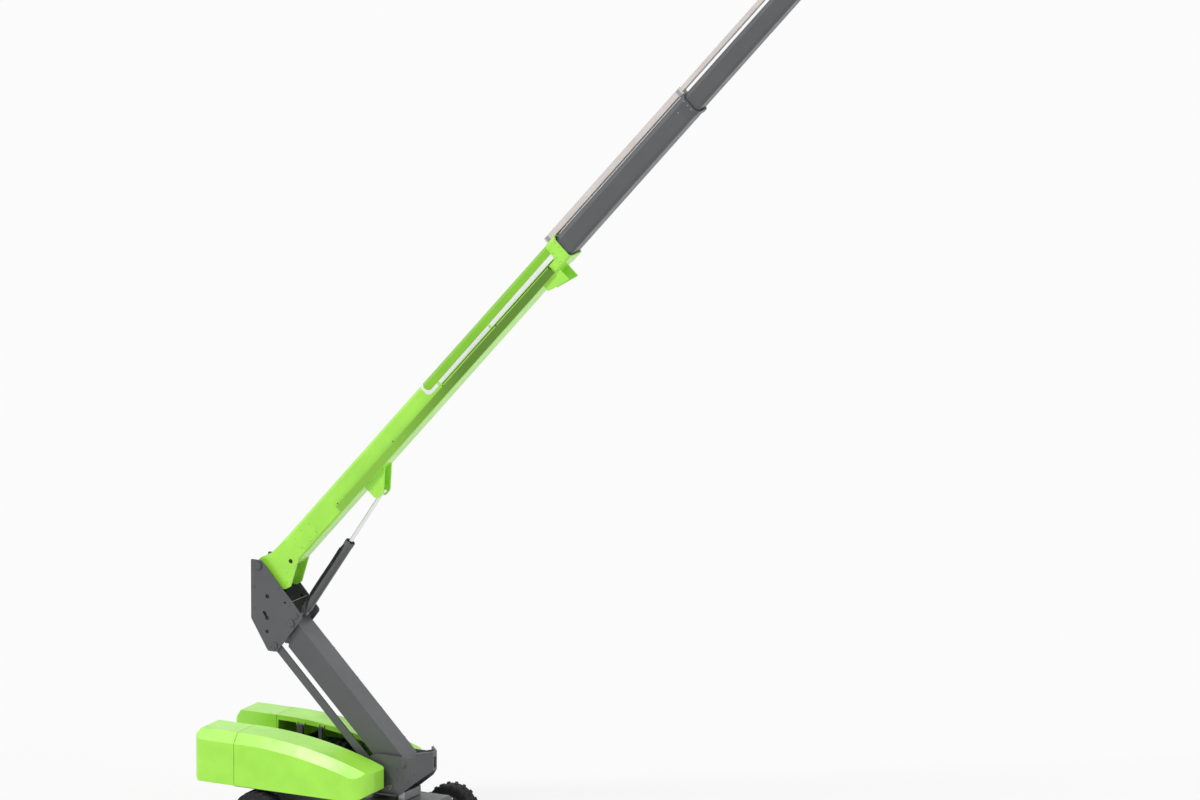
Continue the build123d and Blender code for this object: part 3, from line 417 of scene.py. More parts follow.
# Radius and place across, from the bead to the tread
TYRE_PROFILE = [
    (0.3128, 0.150), (0.3130, 0.166), (0.330, 0.1720), (0.352, 0.1745), (0.360, 0.1772), (0.368, 0.1752),
    (0.400, 0.1768), (0.430, 0.1740), (0.455, 0.166), (0.470, 0.150), (0.479, 0.125), (TREAD_R, 0.070),
]

# Count, radius of their circle, place across, and size
WHEEL_NUTS = (10, 0.145, 0.020, 0.013)
HUB_BOLTS = (8, 0.078, 0.075, 0.007)
VALVE_R = 0.285


def lug(piece, start, row, side):
    """One slanted lug, from the middle of the tread over its shoulder."""
    rings = []
    for outer, outer_y, inner, inner_y, width in LUG_STATIONS:
        lean = start + row * side * LUG_SLANT * outer_y / TYRE_R
        half = width / 2 / outer
        foot = half * LUG_FLARE
        corners = (
            (outer, outer_y, -half), (outer, outer_y, half), (inner, inner_y, foot), (inner, inner_y, -foot),
        )
        rings.append([(r * math.cos(lean + t), row * y, r * math.sin(lean + t)) for r, y, t in corners])
    piece.loft(rings)


def bolt_circle(piece, side, count, radius, out, size):
    for k in range(count):
        angle = math.tau * k / count
        piece.bolt((radius * math.cos(angle), side * out, radius * math.sin(angle)), (0, side, 0), size)


def add_wheel(end, name, side):
    """Tyre with a rounded carcass and thick lugs that wrap over its shoulders, wheel nuts and valve."""
    body, node = f"wheel_{end}_{name}", f"tyre_{end}_{name}"
    low, high = (Vector(corner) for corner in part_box(node))
    hub = Matrix.Translation((low + high) / 2)
    piece = Piece(f"tread_{node}", body, RUBBER, hub, LUG_EDGE)
    profile = TYRE_PROFILE + [(radius, -y) for radius, y in reversed(TYRE_PROFILE)]
    piece.turned((0, 0, 0), (0, 1, 0), profile, TYRE_SIDES)
    for row, shift in ((1, 0.0), (-1, 0.5)):
        for count in range(LUG_PITCHES):
            lug(piece, math.tau * (count + shift) / LUG_PITCHES, row, side)
    piece.done(node)
    nuts = Piece(f"wheel_nuts_{end}_{name}", body, STEEL, hub)
    bolt_circle(nuts, side, *WHEEL_NUTS)
    bolt_circle(nuts, side, *HUB_BOLTS)
    nuts.bar((VALVE_R, 0, 0), (VALVE_R, side * 0.045, 0.006), 0.006, 10)
    nuts.done()


def add_wheels():
    for end in ("front", "rear"):
        for name, side in (("left", 1), ("right", -1)):
            add_wheel(end, name, side)


# Main boom: places along it, to the left and up, from its pivot

BOOM_HALF = 0.220
CHAMFER = 0.060
SKIN = 0.0012
SUNK = 0.0005

STRIPE_START = 5.02
STRIPE_END = 8.935
STRIPE_BEND = 0.11
STRIPE_BORDER = 0.055
STRIPE_GAPS = (5.34, 6.94)
# Outline of a black strip that is painted shadow, where the gap above the hose tray lies in shade
TRAY_GAP_SHADOW = [(5.42, -0.280), (8.90, -0.284), (8.90, -0.300), (5.42, -0.290)]

COVER_OUT = 0.005
COVER_CORNERS = [(0.84, -0.42), (1.40, -0.42), (1.40, -0.10), (0.84, -0.10)]
COVER_BOLTS = ((0.90, -0.36), (1.34, -0.36), (1.34, -0.16), (0.90, -0.16), (1.12, -0.39), (1.12, -0.13))
COLLAR_OUT = 0.012
COLLAR_BOLTS = [(s, up) for s in (8.98, 9.16) for up in (-0.10, -0.20, -0.30, -0.40)]
TAIL_BOLTS = ((0.14, 0.02), (0.30, -0.46), (0.16, -0.58), (0.52, -0.48))
LIFT_LUG_HALF = 0.140
LIFT_LUG_BOLTS = ((2.78, -0.60), (2.95, -0.60))
TAIL_HOLE = (0.510, -0.374)
HEAD_PAD = (9.13, 9.204)
PAD_HALF = 0.05
TRAY_CLIPS = (2.06, 3.82, 5.39, 7.06, 8.70)


def stripe(name, colour, start, low_start, low_end, lift):
    """Band on both sides of the boom and over its upper chamfers, rounded at its lower end."""
    piece = Piece(name, "boom_base", colour, BOOM)
    turns = [math.pi / 2 * k / 8 for k in range(9)]
    bend = STRIPE_BEND
    corner = [(start + bend - bend * math.cos(t), low_start + bend - bend * math.sin(t)) for t in turns]
    outline = [(STRIPE_END, -CHAMFER), (start, -CHAMFER)] + corner + [(STRIPE_END, low_end)]
    out = SKIN + lift
    ring = [
        (BOOM_HALF + out, -CHAMFER), (BOOM_HALF - CHAMFER + out * 0.4, out),
        (BOOM_HALF - CHAMFER, -SUNK), (BOOM_HALF - SUNK, -CHAMFER),
    ]
    for side in SIDES:
        piece.plate(outline, side * (BOOM_HALF - SUNK), side * (BOOM_HALF + out))
        piece.loft([[(s, side * y, up) for y, up in ring] for s in (start, STRIPE_END)])
    piece.done()


def add_stripes():
    """Green band with a white border, broken by two short gaps, and under it a thin black strip of painted shadow
    in the gap above the tray.
    """
    stripe("stripe_white", WHITE_PAINT, STRIPE_START, -0.262, -0.272, 0.0)
    stripe("stripe_green", STRIPE_PAINT, STRIPE_START + STRIPE_BORDER, -0.195, -0.180, SKIN)
    gaps = Piece("stripe_gaps", "boom_base", GREEN_PAINT, BOOM)
    # Painted shadow: a thin black strip along the shaded gap above the tray
    line = Piece("tray_gap_painted_shadow", "boom_base", BLACK_PAINT, BOOM)
    for side in SIDES:
        near, far = side * (BOOM_HALF - SUNK), side * (BOOM_HALF + 3 * SKIN)
        for start in STRIPE_GAPS:
            end = start + STRIPE_BORDER
            gaps.plate([(start, -0.196), (end, -0.196), (end, -0.274), (start, -0.274)], near, far)
        line.plate(TRAY_GAP_SHADOW, near, far)
    gaps.done()
    line.done()


def add_boom():
    """Service covers, bolts, black discs of painted shade just inside the tail's holes, slide pads in the head and
    clips along the tray.
    """
    add_stripes()
    covers = Piece("boom_covers", "boom_base", GREEN_PAINT, BOOM, 0.002)
    bolts = Piece("boom_bolts", "boom_base", GREEN_PAINT, BOOM)
    for side in SIDES:
        covers.plate(rounded(COVER_CORNERS, 0.13), side * (BOOM_HALF - 0.001), side * (BOOM_HALF + COVER_OUT))
        bolts.side_bolts(side, BOOM_HALF + COVER_OUT, COVER_BOLTS, 0.008)
        bolts.side_bolts(side, BOOM_HALF + COLLAR_OUT, COLLAR_BOLTS, 0.010)
        bolts.side_bolts(side, BOOM_HALF, TAIL_BOLTS, 0.011)
        bolts.side_bolts(side, LIFT_LUG_HALF, LIFT_LUG_BOLTS, 0.010)
    for y in (-0.10, 0.0, 0.10):
        for s in (9.0, 9.14):
            bolts.bolt((s, y, COLLAR_OUT), (0, 0, 1), 0.010)
    covers.done()
    bolts.done()
    # Painted shade: black discs just inside the tail's holes, in place of the shaded hollow of the boom
    hole_shade = Piece("boom_tail_hole_painted_shade", "boom_base", BLACK_PAINT, BOOM)
    s, up = TAIL_HOLE
    for side in SIDES:
        hole_shade.bar((s, side * 0.189, up), (s, side * 0.184, up), 0.056, 28)
    hole_shade.done()
    add_head_pads()
    add_tray_clips()


def add_head_pads():
    pads = Piece("boom_head_pads", "boom_base", PAD_PLASTIC, BOOM, 0.002)
    for y in (-0.11, 0.11):
        for up in (-0.012, -0.474):
            pads.box(HEAD_PAD, (y - PAD_HALF, y + PAD_HALF), (up, up + 0.011))
    for side in SIDES:
        for up in (-0.13, -0.34):
            pads.box(HEAD_PAD, sorted((side * 0.209, side * 0.2195)), (up - PAD_HALF, up + PAD_HALF))
    pads.done()


def add_tray_clips():
    clips = Piece("tray_clips", "boom_base", BLACK_PAINT, BOOM, 0.001)
    inner, outer, wide = -0.2205, -0.2245, 0.03
    for s in TRAY_CLIPS:
        clips.plate([(s, -0.350), (s + wide, -0.350), (s + wide, -0.336), (s, -0.336)], -0.286, inner)
        clips.box((s, s + wide), (outer, inner), (-0.42, -0.30))
        clips.bolt((s + wide / 2, outer, -0.315), (0, -1, 0), 0.007)
    clips.done()


# Telescoped sections

SECTION_STEP = 0.022
MID_HEAD = 13.15
FLY_HEAD = 17.10
MID_COLLAR_OUT = 0.014


def stop_bolts(bolts, half, head):
    for side in (-1, 1):
        bolts.bolt((head - 0.30, side * half, -0.20), (0, side, 0), 0.009)


def add_sections():
    """Bolts and slide pads of the middle section's collar, and the bolts of both sections' stops."""
    half, top = BOOM_HALF - SECTION_STEP, -SECTION_STEP
    collar = MID_HEAD - 0.045
    bolts = Piece("boom_mid_bolts", "boom_mid", STEEL, BOOM)
    pads = Piece("boom_mid_pads", "boom_mid", PAD_PLASTIC, BOOM, 0.0015)
    for side in SIDES:
        bolts.side_bolts(side, half + MID_COLLAR_OUT, [(collar, up) for up in (-0.14, -0.24, -0.34)], 0.009)
    for y in (-0.07, 0.07):
        bolts.bolt((collar, y, top + MID_COLLAR_OUT), (0, 0, 1), 0.009)
        pads.box((MID_HEAD - 0.06, MID_HEAD + 0.004), (y - 0.04, y + 0.04), (top - 0.0095, top - 0.0005))
    stop_bolts(bolts, half, MID_HEAD)
    bolts.done()
    pads.done()
    bolts = Piece("boom_fly_bolts", "boom_fly", STEEL, BOOM)
    stop_bolts(bolts, half - SECTION_STEP, FLY_HEAD)
    bolts.done()


def add_carrier_bands():
    """Bands near both ends of the middle section's carrier tube, on its right side."""
    tube = frame["nodes"]["mid_carrier_tube"]
    to_boom = BOOM.inverted() @ tube.matrix_world
    points = [to_boom @ vertex.co for vertex in tube.data.vertices]
    low = Vector([min(point[k] for point in points) for k in range(3)])
    high = Vector([max(point[k] for point in points) for k in range(3)])
    bands = Piece("mid_carrier_tube_bands", "boom_mid", BRACKET_PAINT, BOOM, 0.002)
    for s in (low.x + 0.03, high.x - 0.11):
        bands.box((s, s + 0.08), (low.y - 0.003, low.y + SUNK), (low.z + 0.012, high.z - 0.012))
    bands.done()


# Knuckle: places forward and up from the riser's top pin

KNUCKLE_SIDE = 0.330

# Lightening holes: place and radius
KNUCKLE_HOLES = [
    (-0.511, 0.445, 0.040), (-0.140, 0.374, 0.022), (-0.576, 0.133, 0.034), (-0.552, 0.092, 0.028),
    (-0.519, 0.038, 0.040), (-0.519, -0.220, 0.034),
]

# Pins: place, radius of the cap, and where the pin ends
KNUCKLE_PINS = [
    (0, 0, 0.060, 0.355), (0.084, 0.148, 0.052, 0.340), (-0.701, 1.005, 0.070, 0.355),
    (-0.351, -0.460, 0.055, 0.350),
]
KNUCKLE_BOLTS = ((-0.78, 1.00), (-0.78, 0.60), (-0.78, 0.20), (-0.44, -0.50), (-0.26, 0.62), (-0.05, 0.33))
KNUCKLE_HOSE = ((-0.79, 0.25), (-0.75, 0.05), (-0.67, -0.15), (-0.60, -0.30), (-0.53, -0.44))


def add_knuckle():
    """Black discs of painted shade just inside the lightening holes, caps on the pins, bolts, and hoses between
    the side plates.
    """
    # Painted shade: black discs just inside the lightening holes, in place of the shaded space between the side
    # plates
    hole_shade = Piece("knuckle_hole_painted_shade", "riser_knuckle", BLACK_PAINT, KNUCKLE)
    for side in SIDES:
        for x, z, radius in KNUCKLE_HOLES:
            hole_shade.bar((x, side * 0.3045, z), (x, side * 0.3010, z), radius + 0.012, 24)
    hole_shade.done()
    caps = Piece("knuckle_pin_caps", "riser_knuckle", GREY_PAINT, KNUCKLE, 0.0015)
    bolts = Piece("knuckle_bolts", "riser_knuckle", GREY_PAINT, KNUCKLE)
    for side in SIDES:
        for x, z, radius, half in KNUCKLE_PINS:
            pin_cap(caps, bolts, (x, side * half, z), side, radius)
        bolts.side_bolts(side, KNUCKLE_SIDE, KNUCKLE_BOLTS, 0.010)
    caps.done()
    bolts.done()
    hoses = Piece("knuckle_hoses", "riser_knuckle", HOSE_RUBBER, KNUCKLE)
    for k in range(4):
        y = -0.285 + 0.024 * k
        hoses.tube([(x, y, z) for x, z in KNUCKLE_HOSE], 0.010)
    hoses.done()


# Riser: places along it, to the left and to its rear, from its lower pin

RISER_SIDE = 0.250
RISER_HOSE_STOPS = (0.25, 1.0, 2.2, 3.02)
RISER_CLIPS = (0.45, 1.15, 1.85, 2.55)
RISER_BOLTS = ((0.12, 0.12), (0.12, 0), (3.10, 0.30), (3.20, 0.10))


def add_riser():
    """Three hoses clipped along the riser's left side, and bolts at its ends."""
    hoses = Piece("riser_hoses", "riser", HOSE_RUBBER, RISER)
    for k in range(3):
        rear = -0.020 + 0.026 * k
        hoses.tube([(s, 0.262, rear) for s in RISER_HOSE_STOPS], 0.011)
    hoses.done()
    clips = Piece("riser_clips", "riser", BLACK_PAINT, RISER, 0.001)
    inner, outer = RISER_SIDE - 0.0005, 0.2765
    for s in RISER_CLIPS:
        clips.box((s, s + 0.035), (inner, outer), (-0.035, 0.048))
        clips.bolt((s + 0.017, outer, 0.0065), (0, 1, 0), 0.007)
    clips.done()
    bolts = Piece("riser_bolts", "riser", GREY_PAINT, RISER)
    for side in SIDES:
        bolts.side_bolts(side, RISER_SIDE, RISER_BOLTS, 0.011)
    bolts.done()


# Lift cylinder: places along the barrel, to the left and up, from its lower pin

GUARD_START = 0.42
GUARD_END = 1.56
GUARD_STEPS = 220
GUARD_Y = -0.098
GUARD_Z = 0.062
RIB_PITCH = 6
GLAND_START = 1.66
GLAND_PROFILE = [(0.0915, 0), (0.0955, 0), (0.0955, 0.087), (0.0915, 0.088)]


def rib_radius(step):
    return 0.018 + 0.008 * abs(math.sin(step * math.pi / RIB_PITCH))


def add_lift_cylinder():
    """Ribbed guard round the hose along the barrel, the hose's ends, and the gland."""
    wrap = Piece("lift_hose_wrap", "lift_barrel", HOSE_RUBBER, LIFT)
    path = []
    for k in range(GUARD_STEPS + 1):
        along = GUARD_START + (GUARD_END - GUARD_START) * k / GUARD_STEPS
        path.append((along, GUARD_Y, GUARD_Z + 0.003 * math.sin(k * 0.03)))
    wrap.tube(path, rib_radius, 12, smooth=False)
    wrap.tube([(GUARD_END, GUARD_Y, GUARD_Z), (1.62, -0.096, 0.058), (1.645, -0.088, 0.050),
               (1.65, -0.075, 0.044)], 0.012)
    wrap.tube([(GUARD_START, GUARD_Y, GUARD_Z), (0.30, -0.102, 0.050), (0.20, -0.104, 0.020),
               (0.13, -0.104, -0.02)], 0.012)
    wrap.done()
    gland = Piece("lift_gland", "lift_barrel", GREY_PAINT, LIFT, 0.0015)
    gland.turned((GLAND_START, 0, 0), (1, 0, 0), GLAND_PROFILE, 48)
    gland.done()


# Hoods and turntable: places forward of the slewing axis, to the left and above the ground

# Seals: along, out from the middle, and height
HOOD_SEALS = (
    ((-1.8985, -1.890), (0.44, 1.160), (1.4, 1.412)), ((-1.895, 0.44), (1.166, 1.178), (1.048, 1.061)),
)
HINGE_BOLTS = ((-1.46, 1.955), (-1.31, 1.955), (-1.0, 1.955), (-0.9, 1.955))


def add_hood_details():
    """Rubber seals along the lower edges and the bolts of the hinges."""
    for name, side in (("left", 1), ("right", -1)):
        body = f"hood_{name}"
        seal = Piece(f"{body}_seal", body, HOSE_RUBBER, GROUND, 0.001)
        for along, out, height in HOOD_SEALS:
            seal.box(along, sorted((side * out[0], side * out[1])), height)
        seal.done()
        bolts = Piece(f"{body}_bolts", body, STEEL, GROUND)
        for x, z in HINGE_BOLTS:
            bolts.bolt((x, side * 0.410, z), (0, -side, 0), 0.007)
        bolts.done()


FAN_Y = 0.74
FAN_Z = 1.33
FAN_X = -1.30
FAN_BLADES = 8
PULLEY_X = -1.252
PULLEY = [(0.004, 0), (0.115, 0), (0.115, 0.022), (0.10, 0.022), (0.10, 0.011), (0.004, 0.011)]
SMALL_PULLEY = [(0.004, 0), (0.05, 0), (0.05, 0.022), (0.004, 0.022)]
FIN_COUNT = 48
FIN_PITCH = 0.0101
HEAT_BAND = [(0.0852, -0.012), (0.0885, -0.012), (0.0885, 0.012), (0.0852, 0.012)]
BATTERIES = (0.02, 0.24)


def add_engine_details():
    """What shows of the engine through the hood's open inner side."""
    dark = Piece("engine_details", "turntable", ENGINE_PAINT, GROUND, 0.003)
    for k in range(4):
        x = -1.12 + 0.15 * k
        dark.box((x, x + 0.105), (0.64, 0.84), (1.56, 1.60))
        dark.bar((x + 0.05, 0.62, 1.50), (x + 0.05, 0.545, 1.50), 0.026)
    dark.box((-1.16, -0.60), (0.53, 0.575), (1.46, 1.54))
    dark.turned((PULLEY_X, FAN_Y, FAN_Z), (-1, 0, 0), PULLEY)
    dark.turned((PULLEY_X, 0.70, 1.49), (-1, 0, 0), SMALL_PULLEY)
    dark.bar((-1.0, 0.62, 1.20), (-1.0, 0.50, 1.20), 0.05)
    dark.bar((-0.86, 0.62, 1.22), (-0.86, 0.52, 1.22), 0.038)
    dark.done()
    add_engine_fan()
    fins = Piece("radiator_fins", "turntable", STEEL, GROUND)
    for k in range(FIN_COUNT):
        z = 1.124 + FIN_PITCH * k
        fins.box((-1.385, -1.374), (0.522, 1.008), (z, z + 0.002))
    fins.done()
    add_engine_hoses()
    add_exhaust()
    add_batteries()


def add_engine_fan():
    """Twisted blades on a hub."""
    fan = Piece("engine_fan", "turntable", BLACK_PAINT, GROUND, 0.001)
    fan.bar((FAN_X + 0.025, FAN_Y, FAN_Z), (FAN_X - 0.025, FAN_Y, FAN_Z), 0.05, 24)
    thick = Vector((0.0015, 0, 0))
    for k in range(FAN_BLADES):
        angle = math.tau * k / FAN_BLADES
        out = Vector((0, math.cos(angle), math.sin(angle)))
        turn = Vector((0, -math.sin(angle), math.cos(angle)))
        rings = []
        for reach, width, twist in ((0.045, 0.022, 0.018), (0.21, 0.045, 0.010)):
            here = Vector((FAN_X, FAN_Y, FAN_Z)) + out * reach
            slant = turn * width + Vector((twist, 0, 0))
            front, back = here + slant, here - slant
            rings.append([front + thick, front - thick, back - thick, back + thick])
        fan.loft(rings)
    fan.done()


def add_engine_hoses():
    """Two coolant hoses, and hydraulic hoses from the engine and the tank to the turntable's middle."""
    hoses = Piece("engine_hoses", "turntable", HOSE_RUBBER, GROUND)
    upper = [(-1.33, 0.60, 1.58), (-1.26, 0.60, 1.60), (-1.18, 0.64, 1.56), (-1.10, 0.66, 1.54)]
    lower = [(-1.33, 0.92, 1.15), (-1.24, 0.92, 1.13), (-1.15, 0.90, 1.18), (-1.10, 0.88, 1.22)]
    for route in (upper, lower):
        hoses.tube(route, 0.024, 12)
    for k in range(5):
        y = 0.66 + 0.04 * k
        hoses.tube([
            (-0.24, y, 1.29), (-0.10, y, 1.28 - 0.01 * k), (0.10, y - 0.05, 1.16), (0.30, y - 0.16, 1.10),
            (0.50, 0.42 + 0.02 * k, 1.092),
        ], 0.011)
        hoses.tube([
            (-0.52, -0.58 - 0.04 * k, 1.30 - 0.03 * k), (-0.44, -0.55 - 0.04 * k, 1.16),
            (-0.38, -0.48, 1.11 + 0.004 * k), (-0.20, -0.38 + 0.008 * k, 1.10),
        ], 0.011)
    hoses.done()


def add_exhaust():
    """Pipe down from the silencer, and the silencer's bands."""
    pipe = Piece("exhaust_pipe", "turntable", STEEL, GROUND)
    route = [
        (-0.62, 1.00, 1.49), (-0.54, 1.00, 1.49), (-0.46, 1.01, 1.44), (-0.44, 1.02, 1.30),
        (-0.44, 1.02, 1.09),
    ]
    pipe.tube(route, 0.03, 16)
    for x in (-1.14, -0.90, -0.66):
        pipe.turned((x, 1.0, 1.49), (1, 0, 0), HEAT_BAND)
    pipe.done()


def add_batteries():
    cases = Piece("battery", "turntable", BLACK_PAINT, GROUND, 0.005)
    for x in BATTERIES:
        cases.box((x, x + 0.19), (0.50, 0.78), (1.071, 1.27))
        cases.box((x - 0.004, x + 0.194), (0.496, 0.784), (1.27, 1.292))
    cases.done()
    posts = Piece("battery_posts", "turntable", STEEL, GROUND)
    for x in BATTERIES:
        for y in (0.56, 0.72):
            posts.bar((x + 0.05, y, 1.29), (x + 0.05, y, 1.315), 0.011)
    posts.done()


PANEL_Y = -0.405


def add_ground_controls():
    """Control panel on the right side, with two rows of toggle switches and a stop button."""
    panel = Piece("ground_controls", "turntable", BLACK_PAINT, GROUND, 0.004)
    panel.box((-0.16, 0.22), (PANEL_Y, -0.335), (1.42, 1.66))
    panel.done()
    buttons = Piece("ground_buttons", "turntable", PALE_PAINT, GROUND, 0.001)
    for i in range(4):
        for j in range(2):
            x, z = -0.10 + 0.07 * i, 1.48 + 0.07 * j
            buttons.bar((x, -0.404, z), (x, -0.412, z), 0.011)
            buttons.bar((x, -0.412, z), (x + 0.004, -0.428, z + 0.012), 0.004, 8)
    buttons.done()
    stop = Piece("ground_stop", "turntable", RED_PLASTIC, GROUND, 0.001)
    button = [(0.001, 0), (0.014, 0), (0.014, 0.012), (0.024, 0.014), (0.022, 0.026), (0.001, 0.028)]
    stop.turned((0.17, PANEL_Y, 1.585), (0, -1, 0), button, 28)
    stop.done()


TURNTABLE_SIDE = 0.330
TURNTABLE_BOLTS = (
    (1.05, 1.35), (1.28, 1.35), (1.05, 1.56), (0.60, 1.20), (0.20, 1.20), (-0.20, 1.20), (1.40, 1.50),
)
TOWER_PIN_END = 0.331
TOWER_PINS = ((1.177, 1.653, 0.062), (0.90, 1.20, 0.052))


def add_turntable_details():
    """Bolts on the turntable's sides and caps on the pins of the riser and its link."""
    bolts = Piece("turntable_bolts", "turntable", GREY_PAINT, GROUND)
    for side in SIDES:
        bolts.side_bolts(side, TURNTABLE_SIDE, TURNTABLE_BOLTS, 0.011)
    bolts.done()
    caps = Piece("tower_pin_caps", "turntable", GREY_PAINT, GROUND, 0.0015)
    bolts = Piece("tower_pin_bolts", "turntable", STEEL, GROUND)
    for side in SIDES:
        for x, z, radius in TOWER_PINS:
            pin_cap(caps, bolts, (x, side * TOWER_PIN_END, z), side, radius)
    caps.done()
    bolts.done()


HALF_WHEELBASE = 1.415
RING_BOLTS = 30
RING_BOLT_R = 0.635
RING_BOLT_SQUEEZE = 0.68


def add_chassis_details():
    """Axle bolts from below, an oval of bolts on the deck round the slewing ring, and steering hoses."""
    bolts = Piece("chassis_bolts", "chassis", STEEL, GROUND)
    for x in (-HALF_WHEELBASE, HALF_WHEELBASE):
        for dx in (-0.10, 0.10):
            for y in (-0.22, 0.22):
                bolts.bolt((x + dx, y, 0.599), (0, 0, -1), 0.014)
    for k in range(RING_BOLTS):
        angle = math.tau * (k + 0.5) / RING_BOLTS
        x, y = RING_BOLT_R * math.cos(angle), RING_BOLT_R * math.sin(angle) * RING_BOLT_SQUEEZE
        bolts.bolt((x, y, 0.950), (0, 0, 1), 0.010)
    bolts.done()
    hoses = Piece("chassis_hoses", "chassis", HOSE_RUBBER, GROUND)
    for k in range(3):
        y = -0.06 + 0.05 * k
        hoses.tube([(0.96, y, 0.60), (1.10, y, 0.62), (1.24, y * 1.4, 0.63), (1.33, y * 2.0, 0.625)], 0.010)
    hoses.done()


# Platform

RAIL_R = 0.019
RAIL_DROP = 0.021
MIDDLE_RAIL_R = 0.015
POST_R = 0.017
RAIL_BEND = 0.07
GATE_SIDE = 0.090
GRATING_INSET = 0.03
GRATING_BAR = 0.004
TOE_BOARD = (0.002, 0.150)
TOE_BOARD_THICK = 0.003


def platform_room():
    """Centre lines of the rails in plan, the floor's height and the top rail's."""
    low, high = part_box("platform_rails")
    x = (low[0] + RAIL_R, high[0] - RAIL_R)
    y = (low[1] + RAIL_R, high[1] - RAIL_R)
    return x, y, low[2], high[2] - RAIL_DROP


def add_rails():
    """Bent top rail, straight middle rails and posts, open where the gate is."""
    (x0, x1), (y0, y1), floor_z, top_z = platform_room()
    rail = Piece("bent_rails", "platform", RAIL_PAINT, WORLD)
    top = [(x0 + GATE_SIDE, y1), (x0, y1), (x0, y0), (x1, y0), (x1, y1), (x1 - GATE_SIDE, y1)]
    rail.tube(bent_path(top, RAIL_BEND, top_z), RAIL_R, 14, smooth=False)
    middle = (floor_z + top_z) / 2
    for x in (x0, x1):
        rail.bar((x, y0 + RAIL_BEND, middle), (x, y1 - RAIL_BEND, middle), MIDDLE_RAIL_R)
    rail.bar((x0 + RAIL_BEND, y0, middle), (x1 - RAIL_BEND, y0, middle), MIDDLE_RAIL_R)
    posts = [(x, y) for x in (x0, x1) for y in (y0 + RAIL_BEND, y1 - RAIL_BEND)]
    posts += [(x0, 0), (x1, 0), (x0 + RAIL_BEND, y0), (x1 - RAIL_BEND, y0)]
    posts += [(x0 + GATE_SIDE, y1), (x1 - GATE_SIDE, y1)]
    for x, y in posts:
        rail.bar((x, y, floor_z - 0.001), (x, y, top_z), POST_R)
    rail.done("platform_rails")


def bar_starts(low, high, pitch):
    """Where the grating's bars start, along one side of the floor."""
    count = int((high - low - 2 * GRATING_INSET) / pitch)
    return [low + GRATING_INSET + k * pitch for k in range(count + 1)]


def add_grating():
    """Bearing bars across the floor and lower cross bars."""
    (x0, x1), (y0, y1), floor_z, _ = platform_room()
    mesh = Piece("floor_grating", "platform", STEEL, WORLD)
    low = floor_z + 0.003
    for x in bar_starts(x0, x1, 0.032):
        mesh.box((x, x + GRATING_BAR), (y0 + GRATING_INSET, y1 - GRATING_INSET), (low, floor_z + 0.011))
    for y in bar_starts(y0, y1, 0.075):
        mesh.box((x0 + GRATING_INSET, x1 - GRATING_INSET), (y, y + GRATING_BAR), (low, floor_z + 0.009))
    mesh.done()


def add_toe_boards():
    (x0, x1), (y0, y1), floor_z, _ = platform_room()
    boards = Piece("toe_boards", "platform", GREEN_PAINT, WORLD, 0.001)
    heights = [floor_z + height for height in TOE_BOARD]
    half = TOE_BOARD_THICK / 2
    for x in (x0, x1):
        boards.box((x - half, x + half), (y0 + 0.02, y1 - 0.02), heights)
    boards.box((x0 + 0.02, x1 - 0.02), (y0 - half, y0 + half), heights)
    boards.done()


JOYSTICK = [
    (0.001, 0), (0.036, 0), (0.030, 0.016), (0.012, 0.030), (0.010, 0.075), (0.016, 0.085), (0.018, 0.110),
    (0.012, 0.124), (0.001, 0.126),
]
CONSOLE_STOP = [(0.001, 0), (0.015, 0), (0.015, 0.014), (0.026, 0.016), (0.023, 0.030), (0.001, 0.032)]
SWITCHES = 6


def add_console():
    """Two joysticks, a row of toggle switches and a stop button on the console's top."""
    (x0, y0, _), (x1, y1, top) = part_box("control_console")
    sticks = Piece("console_controls", "platform", BLACK_PAINT, WORLD, 0.001)
    for y in (y0 + 0.12, y1 - 0.12):
        sticks.turned(((x0 + x1) / 2, y, top - 0.004), (0, 0, 1), JOYSTICK, 24)
    sticks.done()
    keys = Piece("console_switches", "platform", PALE_PAINT, WORLD, 0.0008)
    for k in range(SWITCHES):
        x, y = x0 + 0.05, y0 + 0.22 + (y1 - y0 - 0.44) * k / (SWITCHES - 1)
        keys.bar((x, y, top - 0.002), (x, y, top + 0.006), 0.010)
        keys.bar((x, y, top + 0.004), (x + 0.008, y, top + 0.022), 0.0035, 8)
    keys.done()
    stop = Piece("console_stop", "platform", RED_PLASTIC, WORLD, 0.001)
    stop.turned((x1 - 0.05, (y0 + y1) / 2, top - 0.002), (0, 0, 1), CONSOLE_STOP, 28)
    stop.done()


def add_platform():
    add_rails()
    add_grating()
    add_toe_boards()
    add_console()


# Jib: places along the arm, to the left and up, from its lower pin

JIB_HOSES = (-0.100, -0.078, 0.087)
JIB_CLIPS = (0.35, 0.95, 1.55)
JIB_CLIP_HEIGHTS = (0.0745, 0.100)


def add_jib():
    """Hoses along the top of the arm and their clips."""
    hoses = Piece("jib_hoses", "jib_arm", HOSE_RUBBER, JIB)
    for y in JIB_HOSES:
        hoses.tube([(0.20, y, 0.087), (0.5, y, 0.086), (1.2, y, 0.086), (1.70, y, 0.087)], 0.010)
    hoses.done()
    clips = Piece("jib_clips", "jib_arm", BLACK_PAINT, JIB, 0.001)
    for s in JIB_CLIPS:
        for across in ((-0.114, -0.062), (0.072, 0.102)):
            clips.box((s, s + 0.03), across, JIB_CLIP_HEIGHTS)
    clips.done()


# Stage

FLOOR_SIZE = 1500
FLOOR_GLOW = 0.72
WORLD_LEVEL = 0.62


def aim(thing, spot, target):
    direction = Vector(target) - Vector(spot)
    thing.location = spot
    thing.rotation_euler = direction.to_track_quat("-Z", "Y").to_euler()


